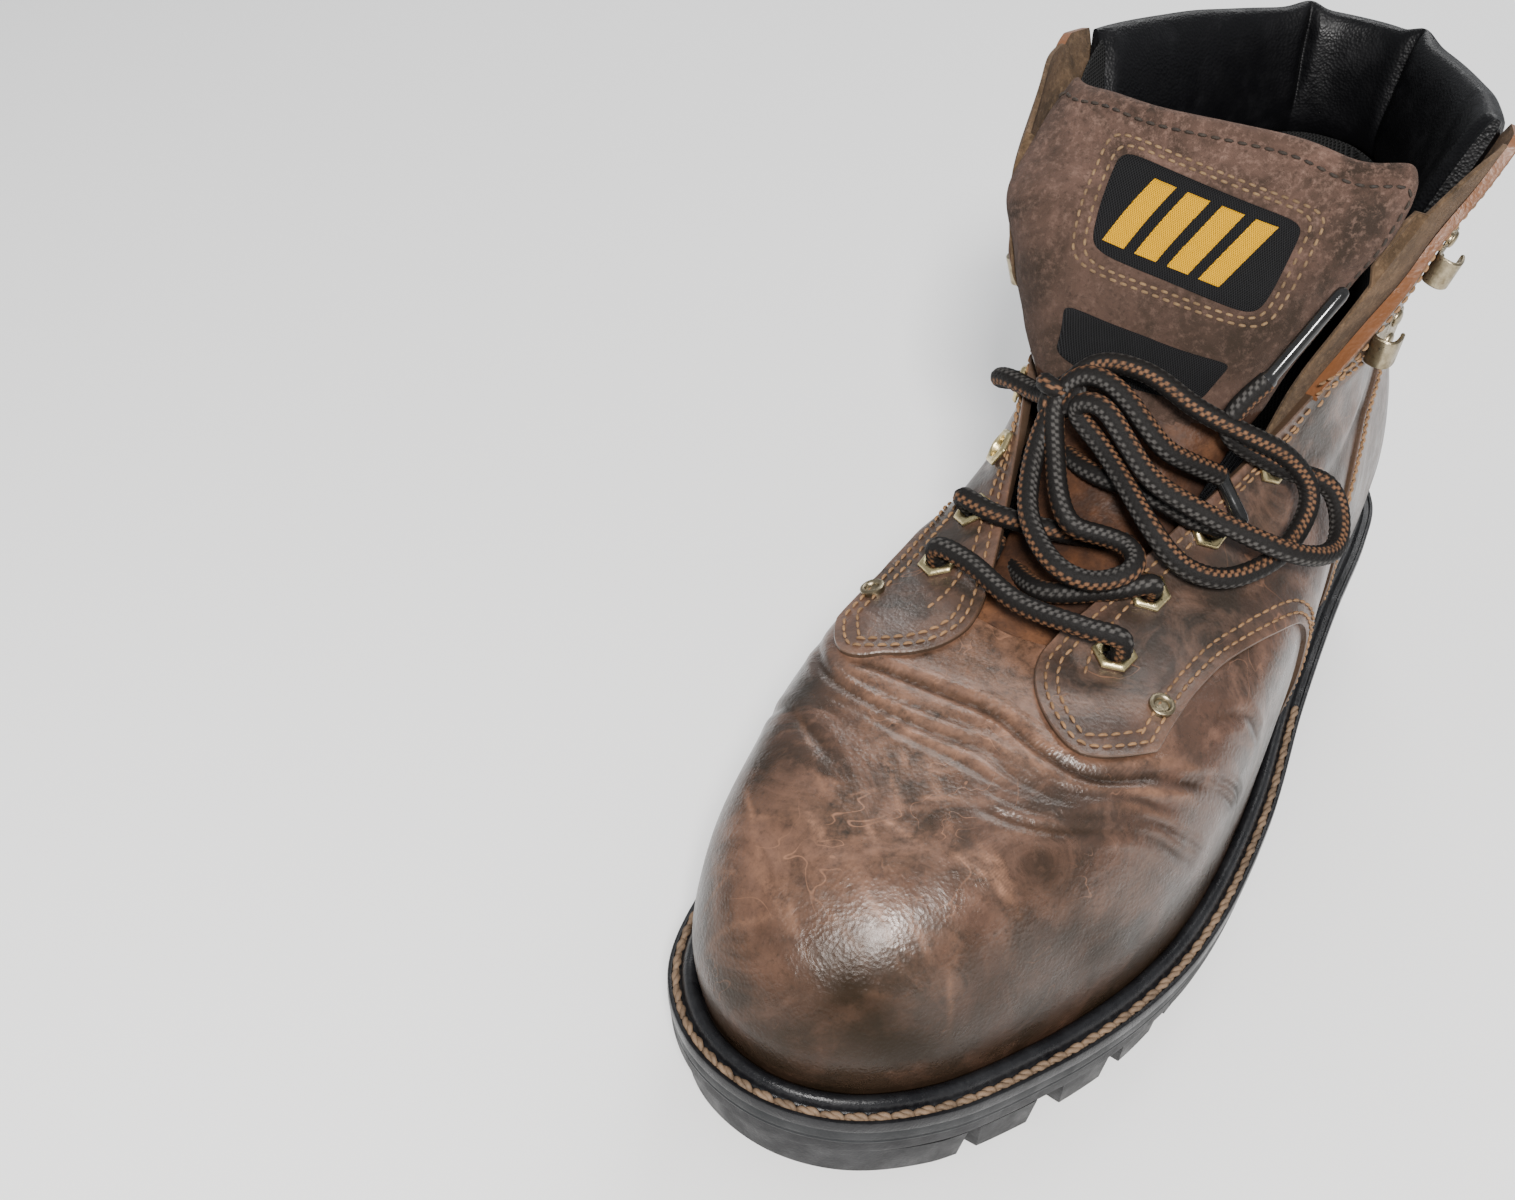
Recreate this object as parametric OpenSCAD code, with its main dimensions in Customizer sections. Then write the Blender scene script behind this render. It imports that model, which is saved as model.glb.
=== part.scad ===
// Left work boot with a steel toe cap: welted rubber sole, leather upper, padded collar, laced front.
// Millimetres, +Z up, toe towards -Y, outer side of the foot towards +X.
// The origin is the middle of the heel's ground face.

/* [Boot] */
// Length of the sole from heel to toe
sole_length = 311; // [290:1:330]
// How far the welt stands out past the upper
welt_over = 7; // [6:0.5:8]
// Thickness of the upper's leather
leather = 2; // [1.6:0.1:2.2]
// Play between two panels that meet edge to edge, as a share of the upper's height
seam_gap = 0.004; // [0.003:0.001:0.006]

/* [Sole] */
// Thickness of the welt
welt_t = 3.2; // [2.6:0.2:3.6]
// Height of the bead between welt and upper
bead_h = 3; // [2:0.5:4]
// Thickness of the midsole
mid_t = 4.5; // [3:0.5:5]
// How far the lugs stand in from the welt's edge
lug_inset = 3.8; // [2:0.2:5]
// Depth of the tread's grooves
tread_depth = 8; // [5:0.5:9]
// Distance between two side grooves of the forefoot tread
tread_pitch = 19.5; // [18:0.5:20]

/* [Metal and laces] */
// Inner radius of an eyelet
eyelet_r = 2.9; // [2.8:0.1:3.2]
// Distance across the corners of an eyelet's hexagonal head
eyelet_head = 10.4; // [9:0.2:11]
// Diameter of the round lace
lace_d = 5; // [4:0.2:5]
// Thickness of the steel toe cap
steel_t = 1.7; // [1.5:0.1:1.8]

/* [Hidden] */

size = sole_length / 311;
heel_y = 45 * size;          // the heel's back edge
toe_turn = 12;               // index of the welt outline's point at the toe
outline_steps = 4;           // points on each span of the outline
fine_steps = 8;              // the same for the width tables
big = 400;                   // longer than the boot

// Edge of the welt seen from above: [x, distance from the heel's back], round from the heel
WELT = size * [[0, 0], [25, 5.5], [38, 22], [43, 45], [46, 80], [51, 120], [57.5, 160], [59.5, 200],
    [55, 232], [44, 262], [30.5, 288], [14, 305], [-6, 311], [-27, 305], [-43, 288], [-51, 262],
    [-54, 232], [-48.5, 200], [-39, 160], [-34, 120], [-37, 80], [-41, 45], [-38, 22], [-25, 5.5]];
// Top of the welt seen from the side: [distance from the heel's back, height]
WELT_TOP = size * [[-15, 38], [40, 38], [75, 36.5], [115, 32], [160, 27.5], [215, 25], [255, 26.5],
    [285, 30], [325, 37.5]];
// Ground side of the sole, with the toe spring
GROUND = size * [[-15, 3], [0, 2], [12, 0], [235, 0], [262, 1.5], [285, 5], [325, 16]];
// Front and back lines of the upper, bottom to top: [y, z]
FRONT = size * [[-258, 37], [-261, 52], [-253, 68], [-234, 80], [-205, 86], [-172, 89], [-143, 96],
    [-118, 110], [-101, 129], [-88, 149], [-76, 167], [-66, 184]];
BACK = size * [[37, 40], [41, 56], [40, 78], [37, 100], [36, 122], [39, 147], [45, 175]];
// Shape of the upper's rings at seven heights, bottom to top
ROUND = [0, 0, 0.15, 0.45, 0.8, 1, 1];             // 0 is the foot's outline, 1 is an oval
WIDTH = [1, 1.02, 0.96, 0.82, 0.78, 0.9, 1.1];     // share of the full width
SQUARE = [1, 1, 1, 0.95, 0.8, 0.6, 0.62];          // under 1 is a flatter front
BLUNT = [1, 1, 1, 1, 0.9, 0.8, 0.75];              // under 1 is a rounder back
EGG = [0, 0, 0, 0, 0.15, 0.3, 0.39];               // wider towards the front
TWIST = [0, 0, 0, 0, 0.1, 0.25, 0.08];             // the front's lean towards the inner side
SHIFT = size * [0, 0, 0, 0, -2, -4, -4];           // the middle's move towards the inner side
oval_half = 47 * size;

// Seams of the upper: [angle round the upper from the toe, share of the height]
SEAM = [[0, 0.46], [12, 0.46], [30, 0.39], [49, 0.335], [59, 0.395], [69, 0.39], [80, 0.34], [90, 0.24],
    [97, 0.1], [100, 0], [360, 0]];
FACING = [[12, 0.465], [14, 0.5], [19, 0.55], [27, 0.6], [38, 0.65], [50, 0.7], [180, 0.715]];
BAND_TOP = [[50, 0.712], [58, 0.78], [64, 0.88], [67, 0.995], [84, 0.995], [86, 0.83], [180, 0.8]];
FOXING_TOP = [[104, 0.4], [112, 0.47], [140, 0.59], [180, 0.63]];
TONGUE_HALF = [[0.47, 15], [0.55, 24], [0.62, 33], [0.7, 40], [0.8, 40], [0.95, 36], [1, 33]];
TONGUE_DEPTH = [[0.47, -11.5], [0.68, -11.5], [0.78, -5], [0.88, -0.5], [1, 0]];
// Eyelets and hooks: [angle, share of the height]
EYELETS_LATERAL = [[29, 0.47], [29, 0.535], [37, 0.59], [48, 0.64]];
EYELETS_MEDIAL = [[-33, 0.48], [-36, 0.535], [-42, 0.59], [-50, 0.64]];
HOOKS = [[64, 0.745], [70.5, 0.83]];

// Route of the laced part, from the knot down to the lowest bar and back up to the knot
LACED = size * [[-20, -110, 123], [-27, -104, 119], [-37, -99, 117], [-41, -94, 113], [-31, -89, 111],
    [-24, -100, 107], [-8, -115, 110], [10, -118, 111], [21, -117, 108], [27, -115, 107], [21, -111, 101],
    [12, -117, 97], [-5, -130, 101], [-21, -134, 102], [-32, -131, 101], [-26, -127, 92],
    [-17, -133, 89], [-3, -145, 94], [12, -142, 99], [20, -137, 101], [17, -133, 92], [12, -140, 89],
    [8, -149, 90], [18, -153, 86], [21, -155, 97], [12, -158, 99], [-4, -157, 98], [-20, -151, 99],
    [-30, -148, 97], [-28, -146, 86]];
// Route of the loop and end that lie over the outer side
BOW_LATERAL = size * [[-17, -112, 129], [-12, -106, 134], [0, -104, 134], [13, -104, 129],
    [25, -100, 124], [34, -94, 118], [41, -92, 109], [42, -101, 103], [40, -113, 101], [33, -124, 100],
    [24, -129, 103], [16, -129, 109], [7, -124, 114], [-3, -118, 119], [-13, -116, 126],
    [-6, -117, 130], [3, -120, 124], [11, -122, 118], [22, -121, 114], [32, -118, 110],
    [41, -115, 107], [48, -108, 103], [51, -97, 100], [48, -88, 104], [43, -87, 110], [35, -92, 113],
    [25, -98, 119], [20, -101, 124], [21, -99, 130], [25, -94, 136]];
// Route of the loop and end that hang down the middle
BOW_MEDIAL = size * [[-19, -116, 122], [-18, -124, 116], [-13, -137, 110], [-6, -144, 106],
    [2, -148, 104], [10, -146, 103], [16, -139, 105], [12, -133, 106], [4, -134, 107], [-2, -136, 108],
    [-8, -131, 112], [-14, -122, 118], [-18, -115, 126], [-13, -111, 133], [-4, -112, 132],
    [4, -114, 127], [10, -114, 122], [16, -110, 118], [22, -105, 114]];
KNOT = size * [-18, -113, 126];
AGLETS = size * [[[25, -94, 136], [34, -78, 156]], [[22, -105, 114], [31, -108, 105]]];
knot_r = 6.5 * size;
aglet_r = 1.8;

// ---- Curves ----

function bend(a, b, c, d, t) = 0.5 * (2 * b + (c - a) * t + (2 * a - 5 * b + 4 * c - d) * t * t
    + (3 * b - a - 3 * c + d) * t * t * t);
// Smooth open curve through the points p, at u from 0 to 1
function along(p, u) = let (n = len(p) - 1, k = n * min(max(u, 0), 1), i = min(floor(k), n - 1))
    bend(p[max(i - 1, 0)], p[i], p[i + 1], p[min(i + 2, n)], k - i);
// Smooth closed curve through the points p, with m points on each span
function closed(p, m) = let (n = len(p)) [for (i = [0 : n - 1], j = [0 : m - 1])
    bend(p[(i + n - 1) % n], p[i], p[(i + 1) % n], p[(i + 2) % n], j / m)];
function inset(o, d) = let (n = len(o)) [for (i = [0 : n - 1])
    let (t = o[(i + 1) % n] - o[(i + n - 1) % n]) o[i] + d * [-t.y, t.x] / norm(t)];
function mix(a, b, t) = a + (b - a) * t;

// ---- Upper ----

feather = inset(closed(WELT, fine_steps), welt_over);
half_count = toe_turn * fine_steps;
// Width tables of the line where upper and welt meet: [distance from the heel's back, x]
LATERAL_EDGE = [for (i = [0 : half_count]) [feather[i].y, feather[i].x]];
MEDIAL_EDGE = [for (i = [half_count : len(feather)]) let (p = feather[i % len(feather)]) [p.y, p.x]];
toe_s = feather[half_count].y;
toe_x = feather[half_count].x;
heel_s = feather[0].y;

// Angle away from the toe, whichever way round: q over 180 comes back along the inner side
function turn(q) = q > 180 ? 360 - q : abs(q);
function side_of(q) = q > 180 || q < 0 ? -1 : 1;
function welt_z(y) = lookup(heel_y - y, WELT_TOP);

// Point of the upper's outer face: v is the share of the height, q the angle from the toe
function upper(v, q) = let (f = turn(q), side = side_of(q), t = (1 - cos(f)) / 2,
    front = along(FRONT, v), back = along(BACK, v), k = min(max(along(ROUND, v), 0), 1),
    s = mix(toe_s, heel_s, t), middle = toe_x * (1 - t),
    edge = abs(lookup(s, side > 0 ? LATERAL_EDGE : MEDIAL_EDGE) - middle),
    power = mix(along(SQUARE, v), along(BLUNT, v), t),
    oval = pow(max(sin(f), 0.0001), power) * oval_half * (1 + along(EGG, v) * cos(f)),
    x = middle * (1 - k) + along(SHIFT, v) + side * along(WIDTH, v) * mix(edge, oval, k),
    y = mix(front.x, back.x, t) + along(TWIST, v) * x * (1 - t),
    z = mix(front.y, back.y, t),
    low = mix(37, 40, t) * size,
    drop = pow(max(1 - v / 0.25, 0), 1.5))
    [x, y, z + (welt_z(y) + 0.3 - low) * drop];
function across(v, q) = let (d = upper(v, q + 1) - upper(v, q - 1)) d / norm(d);
function normal(v, q) = let (n = cross(across(v, q), upper(v + 0.01, q) - upper(v - 0.01, q))) n / norm(n);
function skin(v, q, o) = upper(v, q) + o * normal(v, q);

// One panel of the upper. qs are its angles, low and high its edges as tables over the angle,
// outer and inner its faces' distances from the upper's outer face.
module panel(qs, low, high, rows, outer, inner) {
    m = len(qs) - 1;
    w = rows + 1;
    half = (m + 1) * w;
    function v_at(q, j) = mix(lookup(turn(q), low), lookup(turn(q), high), j / rows);
    function grow(v) = min(v / 0.08, 1);
    function o(i, j) = i * w + j;
    function n(i, j) = half + i * w + j;
    outside = [for (q = qs, j = [0 : rows]) let (v = v_at(q, j))
        skin(v, q, outer > 0 ? outer * grow(v) : outer)];
    inside = [for (q = qs, j = [0 : rows]) let (v = v_at(q, j))
        skin(v, q, outer > 0 ? mix(-leather, inner, grow(v)) : inner)];
    faces = concat(
        [for (i = [0 : m - 1], j = [0 : rows - 1]) [o(i, j), o(i, j + 1), o(i + 1, j + 1), o(i + 1, j)]],
        [for (i = [0 : m - 1], j = [0 : rows - 1]) [n(i, j), n(i + 1, j), n(i + 1, j + 1), n(i, j + 1)]],
        [for (i = [0 : m - 1]) [o(i, 0), o(i + 1, 0), n(i + 1, 0), n(i, 0)]],
        [for (i = [0 : m - 1]) [o(i + 1, rows), o(i, rows), n(i, rows), n(i + 1, rows)]],
        [for (j = [0 : rows - 1]) [o(0, j + 1), o(0, j), n(0, j), n(0, j + 1)]],
        [for (j = [0 : rows - 1]) [o(m, j), o(m, j + 1), n(m, j + 1), n(m, j)]]);
    polyhedron(concat(outside, inside), faces, convexity = 6);
}

proud = 1.4;         // how far the quarters, foxing and band stand out past the vamp
function level(v) = [[0, v], [360, v]];
function raised(table, d) = [for (p = table) [p.x, p.y + d]];
// Angles that carry a panel's corners as well as an even spread
function even(a, b, n) = [for (i = [0 : n]) mix(a, b, i / n)];

// Puts its children on the upper at v and q, +Z outwards and +X round towards the heel or toe
module on_upper(v, q, o) {
    p = skin(v, q, o);
    z = normal(v, q);
    x = across(v, q);
    y = cross(z, x);
    multmatrix([[x.x, y.x, z.x, p.x], [x.y, y.y, z.y, p.y], [x.z, y.z, z.z, p.z], [0, 0, 0, 1]]) children();
}

// ---- Sole ----

module plan(d) linear_extrude(big / 2)
    polygon([for (p = inset(closed(WELT, outline_steps), d)) [p.x, heel_y - p.y]]);
// Slab between two side profiles, each raised by its own amount
module slab(low, low_by, high, high_by) rotate([90, 0, 90]) translate([0, 0, -big / 2]) linear_extrude(big)
    polygon(concat([for (p = low) [heel_y - p.x, p.y + low_by]],
        [for (i = [len(high) - 1 : -1 : 0]) [heel_y - high[i].x, high[i].y + high_by]]));
module layer(d, low_by, high_by) intersection() {
    plan(d);
    slab(WELT_TOP, low_by, WELT_TOP, high_by);
}

lug_w = 7;                         // width of a side groove at the ground
rail_x = 19;                       // thin grooves that run along the forefoot

// Wedge that cuts a side groove: wide at the ground, narrow at its floor
module wedge(w, reach) rotate([90, 0, 90]) linear_extrude(reach)
    polygon([[-w / 2, -1], [w / 2, -1], [w * 0.28, tread_depth], [-w * 0.28, tread_depth]]);
module side_groove(s, side, slant) translate([side * (size * rail_x - 1), heel_y - size * s, 0])
    mirror([side > 0 ? 0 : 1, 0, 0]) rotate([0, 0, slant]) wedge(lug_w, big / 5);
module cross_groove(s, w, half) translate([-size * half, heel_y - size * s, 0]) wedge(w, 2 * half * size);
module rail(x, s0, s1) translate([size * x - 1, heel_y - size * s1, -1])
    cube([2, size * (s1 - s0), tread_depth + 1]);

module tread() {
    for (i = [0 : 5]) {
        side_groove(158 + i * tread_pitch, 1, -8);
        side_groove(158 + i * tread_pitch, -1, -8);
        cross_groove(167 + i * tread_pitch, 3.5, 17.5);
    }
    for (x = [-rail_x, rail_x]) {
        rail(x, 148, 266);
        rail(x * 0.55, 14, 86);
    }
    for (s = [30, 50, 70]) {
        side_groove(s, 1, 0);
        side_groove(s, -1, 0);
    }
    translate([-big / 4, heel_y - size * 146, -1]) cube([big / 2, size * 56, tread_depth + 1.5]);
    translate([-big / 4, heel_y - size * 276, -1]) cube([big / 2, 3, tread_depth + 1]);
}

module outsole() color([0.11, 0.11, 0.115]) difference() {
    union() {
        intersection() {
            plan(0.8);
            slab(WELT_TOP, -welt_t - mid_t - 4, WELT_TOP, -welt_t - mid_t);
        }
        intersection() {
            plan(lug_inset);
            slab(GROUND, 0, WELT_TOP, -welt_t - mid_t - 3);
        }
    }
    tread();
}

module midsole() color([0.13, 0.13, 0.135]) layer(0.5, -welt_t - mid_t, -welt_t);

bead_gap = 1.5;       // play between the bead and the upper's foot

module welt() color([0.05, 0.05, 0.055]) {
    difference() {
        layer(0, -welt_t, 0);
        plan(welt_over + 5);
    }
    difference() {
        layer(welt_over - 3.6, -0.2, bead_h);
        plan(welt_over - bead_gap);
    }
}

stitch_count = 84;
stitch_r = 0.95;
stitch_share = 0.6;   // of the space between two points
stitch_line = inset(closed(WELT, fine_steps), 1.9);
// Stitches along the welt's forefoot, one for each space between two points of the line
module welt_stitching() color([0.42, 0.27, 0.12]) {
    n = len(stitch_line);
    for (i = [half_count - stitch_count / 2 : half_count + stitch_count / 2 - 1]) {
        a = stitch_line[i];
        b = stitch_line[i + 1];
        y = heel_y - a.y;
        translate([a.x, y, welt_z(y) + stitch_r + 0.25])
            rotate([0, 90, atan2(a.y - b.y, b.x - a.x)])
                cylinder(r = stitch_r, h = norm(b - a) * stitch_share, $fn = 16);
    }
}

shank_s = 66;        // where the shank starts, from the heel's back
shank_l = 105;
shank_w = 16;
module shank_block(play)
    translate([-(shank_w / 2 + play) * size, heel_y - (shank_s + shank_l + play) * size, 0])
    cube([(shank_w + 2 * play) * size, (shank_l + 2 * play) * size, 80]);

module cork_filler() color([0.62, 0.47, 0.33]) difference() {
    layer(welt_over + 5.2, -welt_t + 0.1, -0.2);
    intersection() {
        shank_block(0.4);
        slab(WELT_TOP, -welt_t - 1, WELT_TOP, 1);
    }
}
module steel_shank() color([0.6, 0.62, 0.64]) intersection() {
    shank_block(0);
    slab(WELT_TOP, -2.4, WELT_TOP, -0.8);
}
module insole_board() color([0.72, 0.63, 0.5]) layer(welt_over + 6.2, 0, 2.4);
module footbed() color([0.2, 0.2, 0.21]) layer(welt_over + 6.6, 2.6, 6.4);

// ---- Upper's pieces ----

VAMP_HALF = [4, 8, 12, 18, 24, 30, 36, 43, 49.5, 54, 59, 64, 69, 74, 80, 85, 90, 93.5, 97, 99.2];
vamp_qs = concat([for (i = [len(VAMP_HALF) - 1 : -1 : 0]) -VAMP_HALF[i]], [0], VAMP_HALF);
quarter_qs = [12.2, 16, 21, 26, 31, 37, 43, 49.5, 54, 59, 64, 69, 75, 80, 85, 90, 95, 99.8, 103.6, 104,
    109, 116, 124, 132, 140, 150, 160, 170, 179.4];
function other_side(qs) = [for (i = [len(qs) - 1 : -1 : 0]) 360 - qs[i]];

module vamp() color([0.34, 0.19, 0.12]) panel(vamp_qs, level(0), raised(SEAM, -seam_gap), 9, 0, -leather);

QUARTER_LOW = [for (p = SEAM) if (p.x < 100) p, [100, 0], [103.6, 0], [104, 0.405],
    for (p = FOXING_TOP) if (p.x > 104) [p.x, p.y + seam_gap], [181, 0.634]];
module quarter_blank(side) color([0.31, 0.175, 0.11])
    panel(side > 0 ? quarter_qs : other_side(quarter_qs), QUARTER_LOW, FACING, 6, proud, proud - leather);
module eyelet_holes(places) for (p = places)
    on_upper(p.y, p.x, 0) translate([0, 0, -4]) cylinder(r = eyelet_r + 0.9, h = 9, $fn = 24);
module quarter_lateral() color([0.31, 0.175, 0.11]) difference() {
    quarter_blank(1);
    eyelet_holes(EYELETS_LATERAL);
}
module quarter_medial() color([0.31, 0.175, 0.11]) difference() {
    quarter_blank(-1);
    eyelet_holes(EYELETS_MEDIAL);
}

FOXING_HALF = [104.6, 108, 112, 118, 125, 133, 140, 150, 160, 170];
module heel_foxing() color([0.3, 0.17, 0.11])
    panel(concat(FOXING_HALF, [180], other_side(FOXING_HALF)), level(0), FOXING_TOP, 6, proud,
        proud - leather);

band_qs = [50.4, 54, 58, 61, 64, 67, 70, 74, 79, 84, 86, 91, 98, 106, 116, 128, 142, 160, 179.4];
BAND_LOW = raised(FACING, seam_gap + 0.002);
module band(side) color([0.29, 0.165, 0.105])
    panel(side > 0 ? band_qs : other_side(band_qs), BAND_LOW, BAND_TOP, 5, proud, proud - leather);
module ankle_band_lateral() band(1);
module ankle_band_medial() band(-1);

COLLAR_HALF = [86.4, 89, 93, 99, 107, 116, 126, 138, 152, 166];
COLLAR_LOW = [[86, 0.838], [180, 0.808]];
collar_out = 1.6;
collar_in = -8;
module collar_pad() color([0.04, 0.04, 0.045])
    panel(concat(COLLAR_HALF, [180], other_side(COLLAR_HALF)), COLLAR_LOW, level(1), 4, collar_out,
        collar_in);

lining_o = -5;
lining_t = 1;
module vamp_lining() color([0.25, 0.24, 0.23])
    panel(even(-94, 94, 26), level(0.012), raised(SEAM, -0.025), 7, lining_o, lining_o - lining_t);
LINING_LOW = [[12, 0.52], [30, 0.46], [49, 0.42], [59, 0.475], [69, 0.47], [80, 0.42], [90, 0.33],
    [97, 0.2], [103, 0.07], [180, 0.07]];
LINING_TOP = [[12, 0.52], [40, 0.54], [60, 0.66], [67, 0.9], [84, 0.9], [88, 0.79], [180, 0.78]];
LINING_HALF = [54, 59, 64, 69, 75, 80, 84, 88, 93, 99, 108, 117, 126, 135, 144, 153, 162, 171];
module quarter_lining() color([0.09, 0.09, 0.095])
    panel(concat(LINING_HALF, [180], other_side(LINING_HALF)), LINING_LOW, LINING_TOP, 6, lining_o,
        lining_o - lining_t);

cap_o = -2.75;       // outer face of the steel and of the strip behind it
counter_o = -2.5;
counter_t = 2;
CAP_EDGE = [[0, 0.38], [30, 0.33], [54, 0.2], [60, 0.2]];
CUSHION_LOW = [[0, 0.386], [30, 0.337], [48, 0.24]];
module steel_toe_cap() color([0.62, 0.64, 0.66])
    panel(even(-54, 54, 24), level(0.02), CAP_EDGE, 8, cap_o, cap_o - steel_t);
// Soft strip that takes the steel's back edge off the foot
module toe_cap_cushion() color([0.1, 0.1, 0.1])
    panel(even(-48, 48, 16), CUSHION_LOW, raised(CUSHION_LOW, 0.033), 1, cap_o, cap_o - steel_t);
module heel_counter() color([0.5, 0.48, 0.44])
    panel(even(122, 238, 16), level(0.02), [[122, 0.36], [140, 0.46], [180, 0.5]], 5, counter_o,
        counter_o - counter_t);

// ---- Tongue ----

tongue_rows = 14;
tongue_cols = 12;
tongue_t = 4;
module tongue_piece(v0, v1, share, rows, cols, up, down, slant = 0) {
    w = cols + 1;
    half = (rows + 1) * w;
    function point(i, j, o) = let (v = mix(v0, v1, j / rows) - slant * mix(-1, 1, i / cols),
        q = share * mix(-1, 1, i / cols) * lookup(v, TONGUE_HALF))
        skin(v, q, lookup(v, TONGUE_DEPTH) + o);
    function a(i, j) = j * w + i;
    function b(i, j) = half + j * w + i;
    faces = concat(
        [for (i = [0 : cols - 1], j = [0 : rows - 1]) [a(i, j), a(i, j + 1), a(i + 1, j + 1), a(i + 1, j)]],
        [for (i = [0 : cols - 1], j = [0 : rows - 1]) [b(i, j), b(i + 1, j), b(i + 1, j + 1), b(i, j + 1)]],
        [for (i = [0 : cols - 1]) [a(i, 0), a(i + 1, 0), b(i + 1, 0), b(i, 0)]],
        [for (i = [0 : cols - 1]) [a(i + 1, rows), a(i, rows), b(i, rows), b(i + 1, rows)]],
        [for (j = [0 : rows - 1]) [a(0, j + 1), a(0, j), b(0, j), b(0, j + 1)]],
        [for (j = [0 : rows - 1]) [a(cols, j), a(cols, j + 1), b(cols, j + 1), b(cols, j)]]);
    polyhedron(concat([for (j = [0 : rows], i = [0 : cols]) point(i, j, up)],
        [for (j = [0 : rows], i = [0 : cols]) point(i, j, down)]), faces, convexity = 6);
}
module tongue() color([0.28, 0.19, 0.17])
    tongue_piece(0.475, 0.995, 1, tongue_rows, tongue_cols, 0, -tongue_t);
module tongue_label() color([0.06, 0.06, 0.06]) tongue_piece(0.813, 0.923, 0.32, 6, 12, 1.4, 0.4, 0.018);
module tongue_tag() color([0.06, 0.06, 0.06]) tongue_piece(0.74, 0.778, 0.38, 2, 12, 1.2, 0.3, 0.006);

// ---- Metalwork ----

module eyelet() {
    difference() {
        union() {
            translate([0, 0, 1.5]) cylinder(d = eyelet_head, h = 1.3, $fn = 6);
            translate([0, 0, -1.6]) cylinder(r = eyelet_r + 0.7, h = 3.6, $fn = 32);
        }
        translate([0, 0, -3]) cylinder(r = eyelet_r, h = 9, $fn = 32);
    }
}
module eyelets(places) color([0.62, 0.52, 0.28]) for (p = places) on_upper(p.y, p.x, 0) eyelet();
module eyelets_lateral() eyelets(EYELETS_LATERAL);
module eyelets_medial() eyelets(EYELETS_MEDIAL);

hook_w = 8;
band_face = 1.7;     // the hooks' plates lie on the band
rivet_r = 2.3;
RIVETS = [[9, -3.4], [9, 3.4]];
// Speed hook: a flat plate whose front end stands up and turns back over itself
module hook() rotate([90, 0, 0]) translate([0, 0, -hook_w / 2]) linear_extrude(hook_w) union() {
    translate([-4, 0]) square([9.5, 1]);
    translate([-4, 0]) square([1, 6]);
    translate([-4, 5]) square([7, 1]);
}
module hook_plate() translate([4.5, -6.2, 0]) cube([8, 12.4, 1]);
// The plate's two rivets pass through it, so it has two holes
module whole_hook() difference() {
    union() {
        hook();
        hook_plate();
    }
    for (r = RIVETS) translate([r.x, r.y, -1]) cylinder(r = 1.3, h = 3, $fn = 24);
}
module hooks(side) color([0.45, 0.39, 0.27]) for (p = HOOKS) at_hook(p, side) whole_hook();
module hooks_lateral() hooks(1);
module hooks_medial() hooks(-1);
module rivet_head() {
    translate([0, 0, 1.05]) cylinder(r = rivet_r, h = 0.7, $fn = 32);
    translate([0, 0, 0.1]) cylinder(r = 1.2, h = 1.2, $fn = 24);
}
module at_hook(p, side) on_upper(p.y, side > 0 ? p.x : 360 - p.x, band_face)
    mirror([side > 0 ? 0 : 1, 0, 0]) children();
module hook_rivets(side) color([0.55, 0.47, 0.3]) for (p = HOOKS, r = RIVETS)
    at_hook(p, side) translate([r.x, r.y, 0]) rivet_head();
module hook_rivets_lateral() hook_rivets(1);
module hook_rivets_medial() hook_rivets(-1);
// A ring-shaped rivet at the front of each quarter, where it is sewn to the vamp
VAMP_RIVETS = [[46.5, 0.385], [-46.5, 0.385]];
module vamp_rivets() color([0.5, 0.42, 0.25]) for (p = VAMP_RIVETS) on_upper(p.y, p.x, 1.6) difference() {
    cylinder(r = 3, h = 1.1, $fn = 32);
    translate([0, 0, 0.7]) cylinder(r = 2, h = 1, $fn = 32);
}

// ---- Laces ----

lace_sides = 8;
function unit(a) = a / norm(a);
function heading(p, i) = unit(p[min(i + 1, len(p) - 1)] - p[max(i - 1, 0)]);
// Frames that turn as little as they can from ring to ring
function frames(p, i = 0, u = [0, 0.3, 1], out = []) = i == len(p) ? out :
    let (t = heading(p, i), w = unit(u - (u * t) * t)) frames(p, i + 1, w, concat(out, [w]));
module tube(p, r) {
    n = lace_sides;
    f = frames(p);
    last = len(p) - 1;
    points = [for (i = [0 : last], k = [0 : n - 1]) let (t = heading(p, i), w = f[i], c = cross(t, w))
        p[i] + r * (cos(360 * k / n) * w + sin(360 * k / n) * c)];
    faces = concat([for (i = [0 : last - 1], k = [0 : n - 1])
        [i * n + k, (i + 1) * n + k, (i + 1) * n + (k + 1) % n, i * n + (k + 1) % n]],
        [[for (k = [0 : n - 1]) k]], [[for (k = [n - 1 : -1 : 0]) last * n + k]]);
    polyhedron(points, faces, convexity = 10);
}
module lace_laced() color([0.09, 0.07, 0.06]) tube(LACED, lace_d / 2);
module lace_knot() color([0.09, 0.07, 0.06]) translate(KNOT) sphere(r = knot_r, $fn = 32);
module lace_bow_lateral() color([0.09, 0.07, 0.06]) tube(BOW_LATERAL, lace_d / 2);
module lace_bow_medial() color([0.09, 0.07, 0.06]) tube(BOW_MEDIAL, lace_d / 2);
module aglets() color([0.02, 0.02, 0.02]) for (a = AGLETS) {
    d = a[1] - a[0];
    translate(a[0] + 0.3 * unit(d)) rotate([0, acos(d.z / norm(d)), atan2(d.y, d.x)])
        cylinder(r = aglet_r, h = norm(d), $fn = 24);
}

// ---- Pull loop ----

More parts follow.
